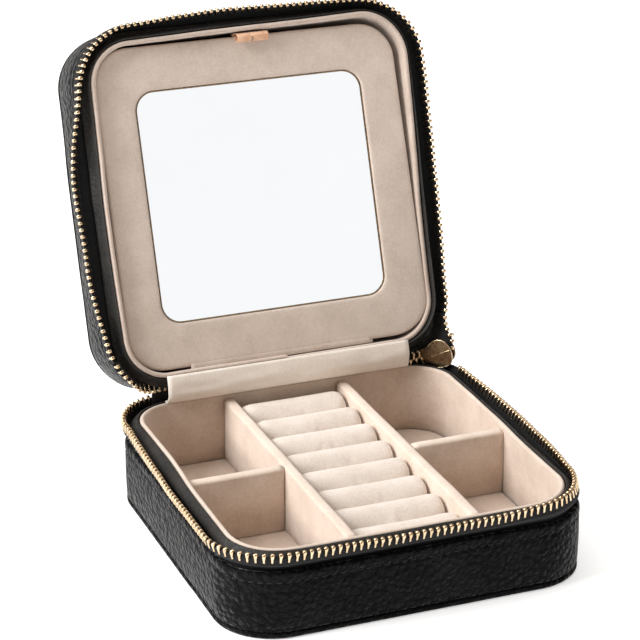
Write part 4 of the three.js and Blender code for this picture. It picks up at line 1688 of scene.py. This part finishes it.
y_front, y_back = BAR_Y + PULL_T / 2, BAR_Y - PULL_T / 2
layers = [
    (pull_edge(0.25), y_front), (pull_edge(0.0), y_front - 0.2), (pull_edge(0.0), y_back + 0.2),
    (pull_edge(0.25), y_back), (pull_edge(0.55), y_back + 0.02), (pull_edge(0.75), y_back + 0.16),
    (pull_eye(0.28), y_back + 0.16), (pull_eye(0.12), y_back + 0.02), (pull_eye(0.0), y_back + 0.15),
    (pull_eye(0.0), y_front - 0.15), (pull_eye(0.12), y_front - 0.02), (pull_eye(0.28), y_front - 0.16),
    (pull_edge(0.75), y_front - 0.16), (pull_edge(0.55), y_front - 0.02),
]
rings = [[(x, y, z + eye_z) for x, z in ring] for ring, y in layers]
slider_piece(
    "zip_pull_plate", ring_stack(rings, True), DARK_GOLD, "zip_pull", body="zip_pull"
)

# ---- floor and light -------------------------------------------------------------------------------------
floor_nodes = Nodes("pale_floor")
cloud = floor_nodes.noise(160.0, 2.0)
floor_nodes.color(floor_nodes.grey(cloud.outputs["Fac"], 0.9, 0.92, (0.3, 0.7)))
floor_nodes.set(Roughness=0.9, Specular_IOR_Level=0.1, Emission_Strength=0.5)
floor_nodes.shader.inputs["Emission Color"].default_value = (1, 1, 1, 1)
FLOOR = 6000
floor = make(
    "floor",
    [(-FLOOR, -FLOOR, -FOOT), (FLOOR, -FLOOR, -FOOT), (FLOOR, FLOOR, -FOOT), (-FLOOR, FLOOR, -FOOT)],
    [(0, 1, 2, 3)],
    floor_nodes.material,
)


def soft_light(name, position, target, size, power, color=(1, 1, 1)):
    data = bpy.data.lights.new(name, "AREA")
    data.shape = "RECTANGLE"
    data.size, data.size_y = size
    data.energy = power
    data.color = color
    light = bpy.data.objects.new(name, data)
    light.location = position
    aim = Vector(target) - Vector(position)
    light.rotation_euler = aim.to_track_quat("-Z", "Y").to_euler()
    light.visible_camera = False
    scene.collection.objects.link(light)
    return light


soft_light("key_left", (-1.25, 0.1, 0.85), (0, 0, 0.04), (0.8, 0.8), 29.5)
soft_light("top", (0.05, 0.2, 1.5), (0, 0, 0), (1.1, 1.1), 10)
soft_light("mirror_card", (0.27, -0.62, 0.26), (0.0, 0.06, 0.09), (0.34, 0.34), 0.285, (0.92, 0.96, 1.0))

world = bpy.data.worlds.new("studio")
world.use_nodes = True
world.node_tree.nodes["Background"].inputs["Color"].default_value = (1.0, 0.89, 0.78, 1)
world.node_tree.nodes["Background"].inputs["Strength"].default_value = 0.268
scene.world = world
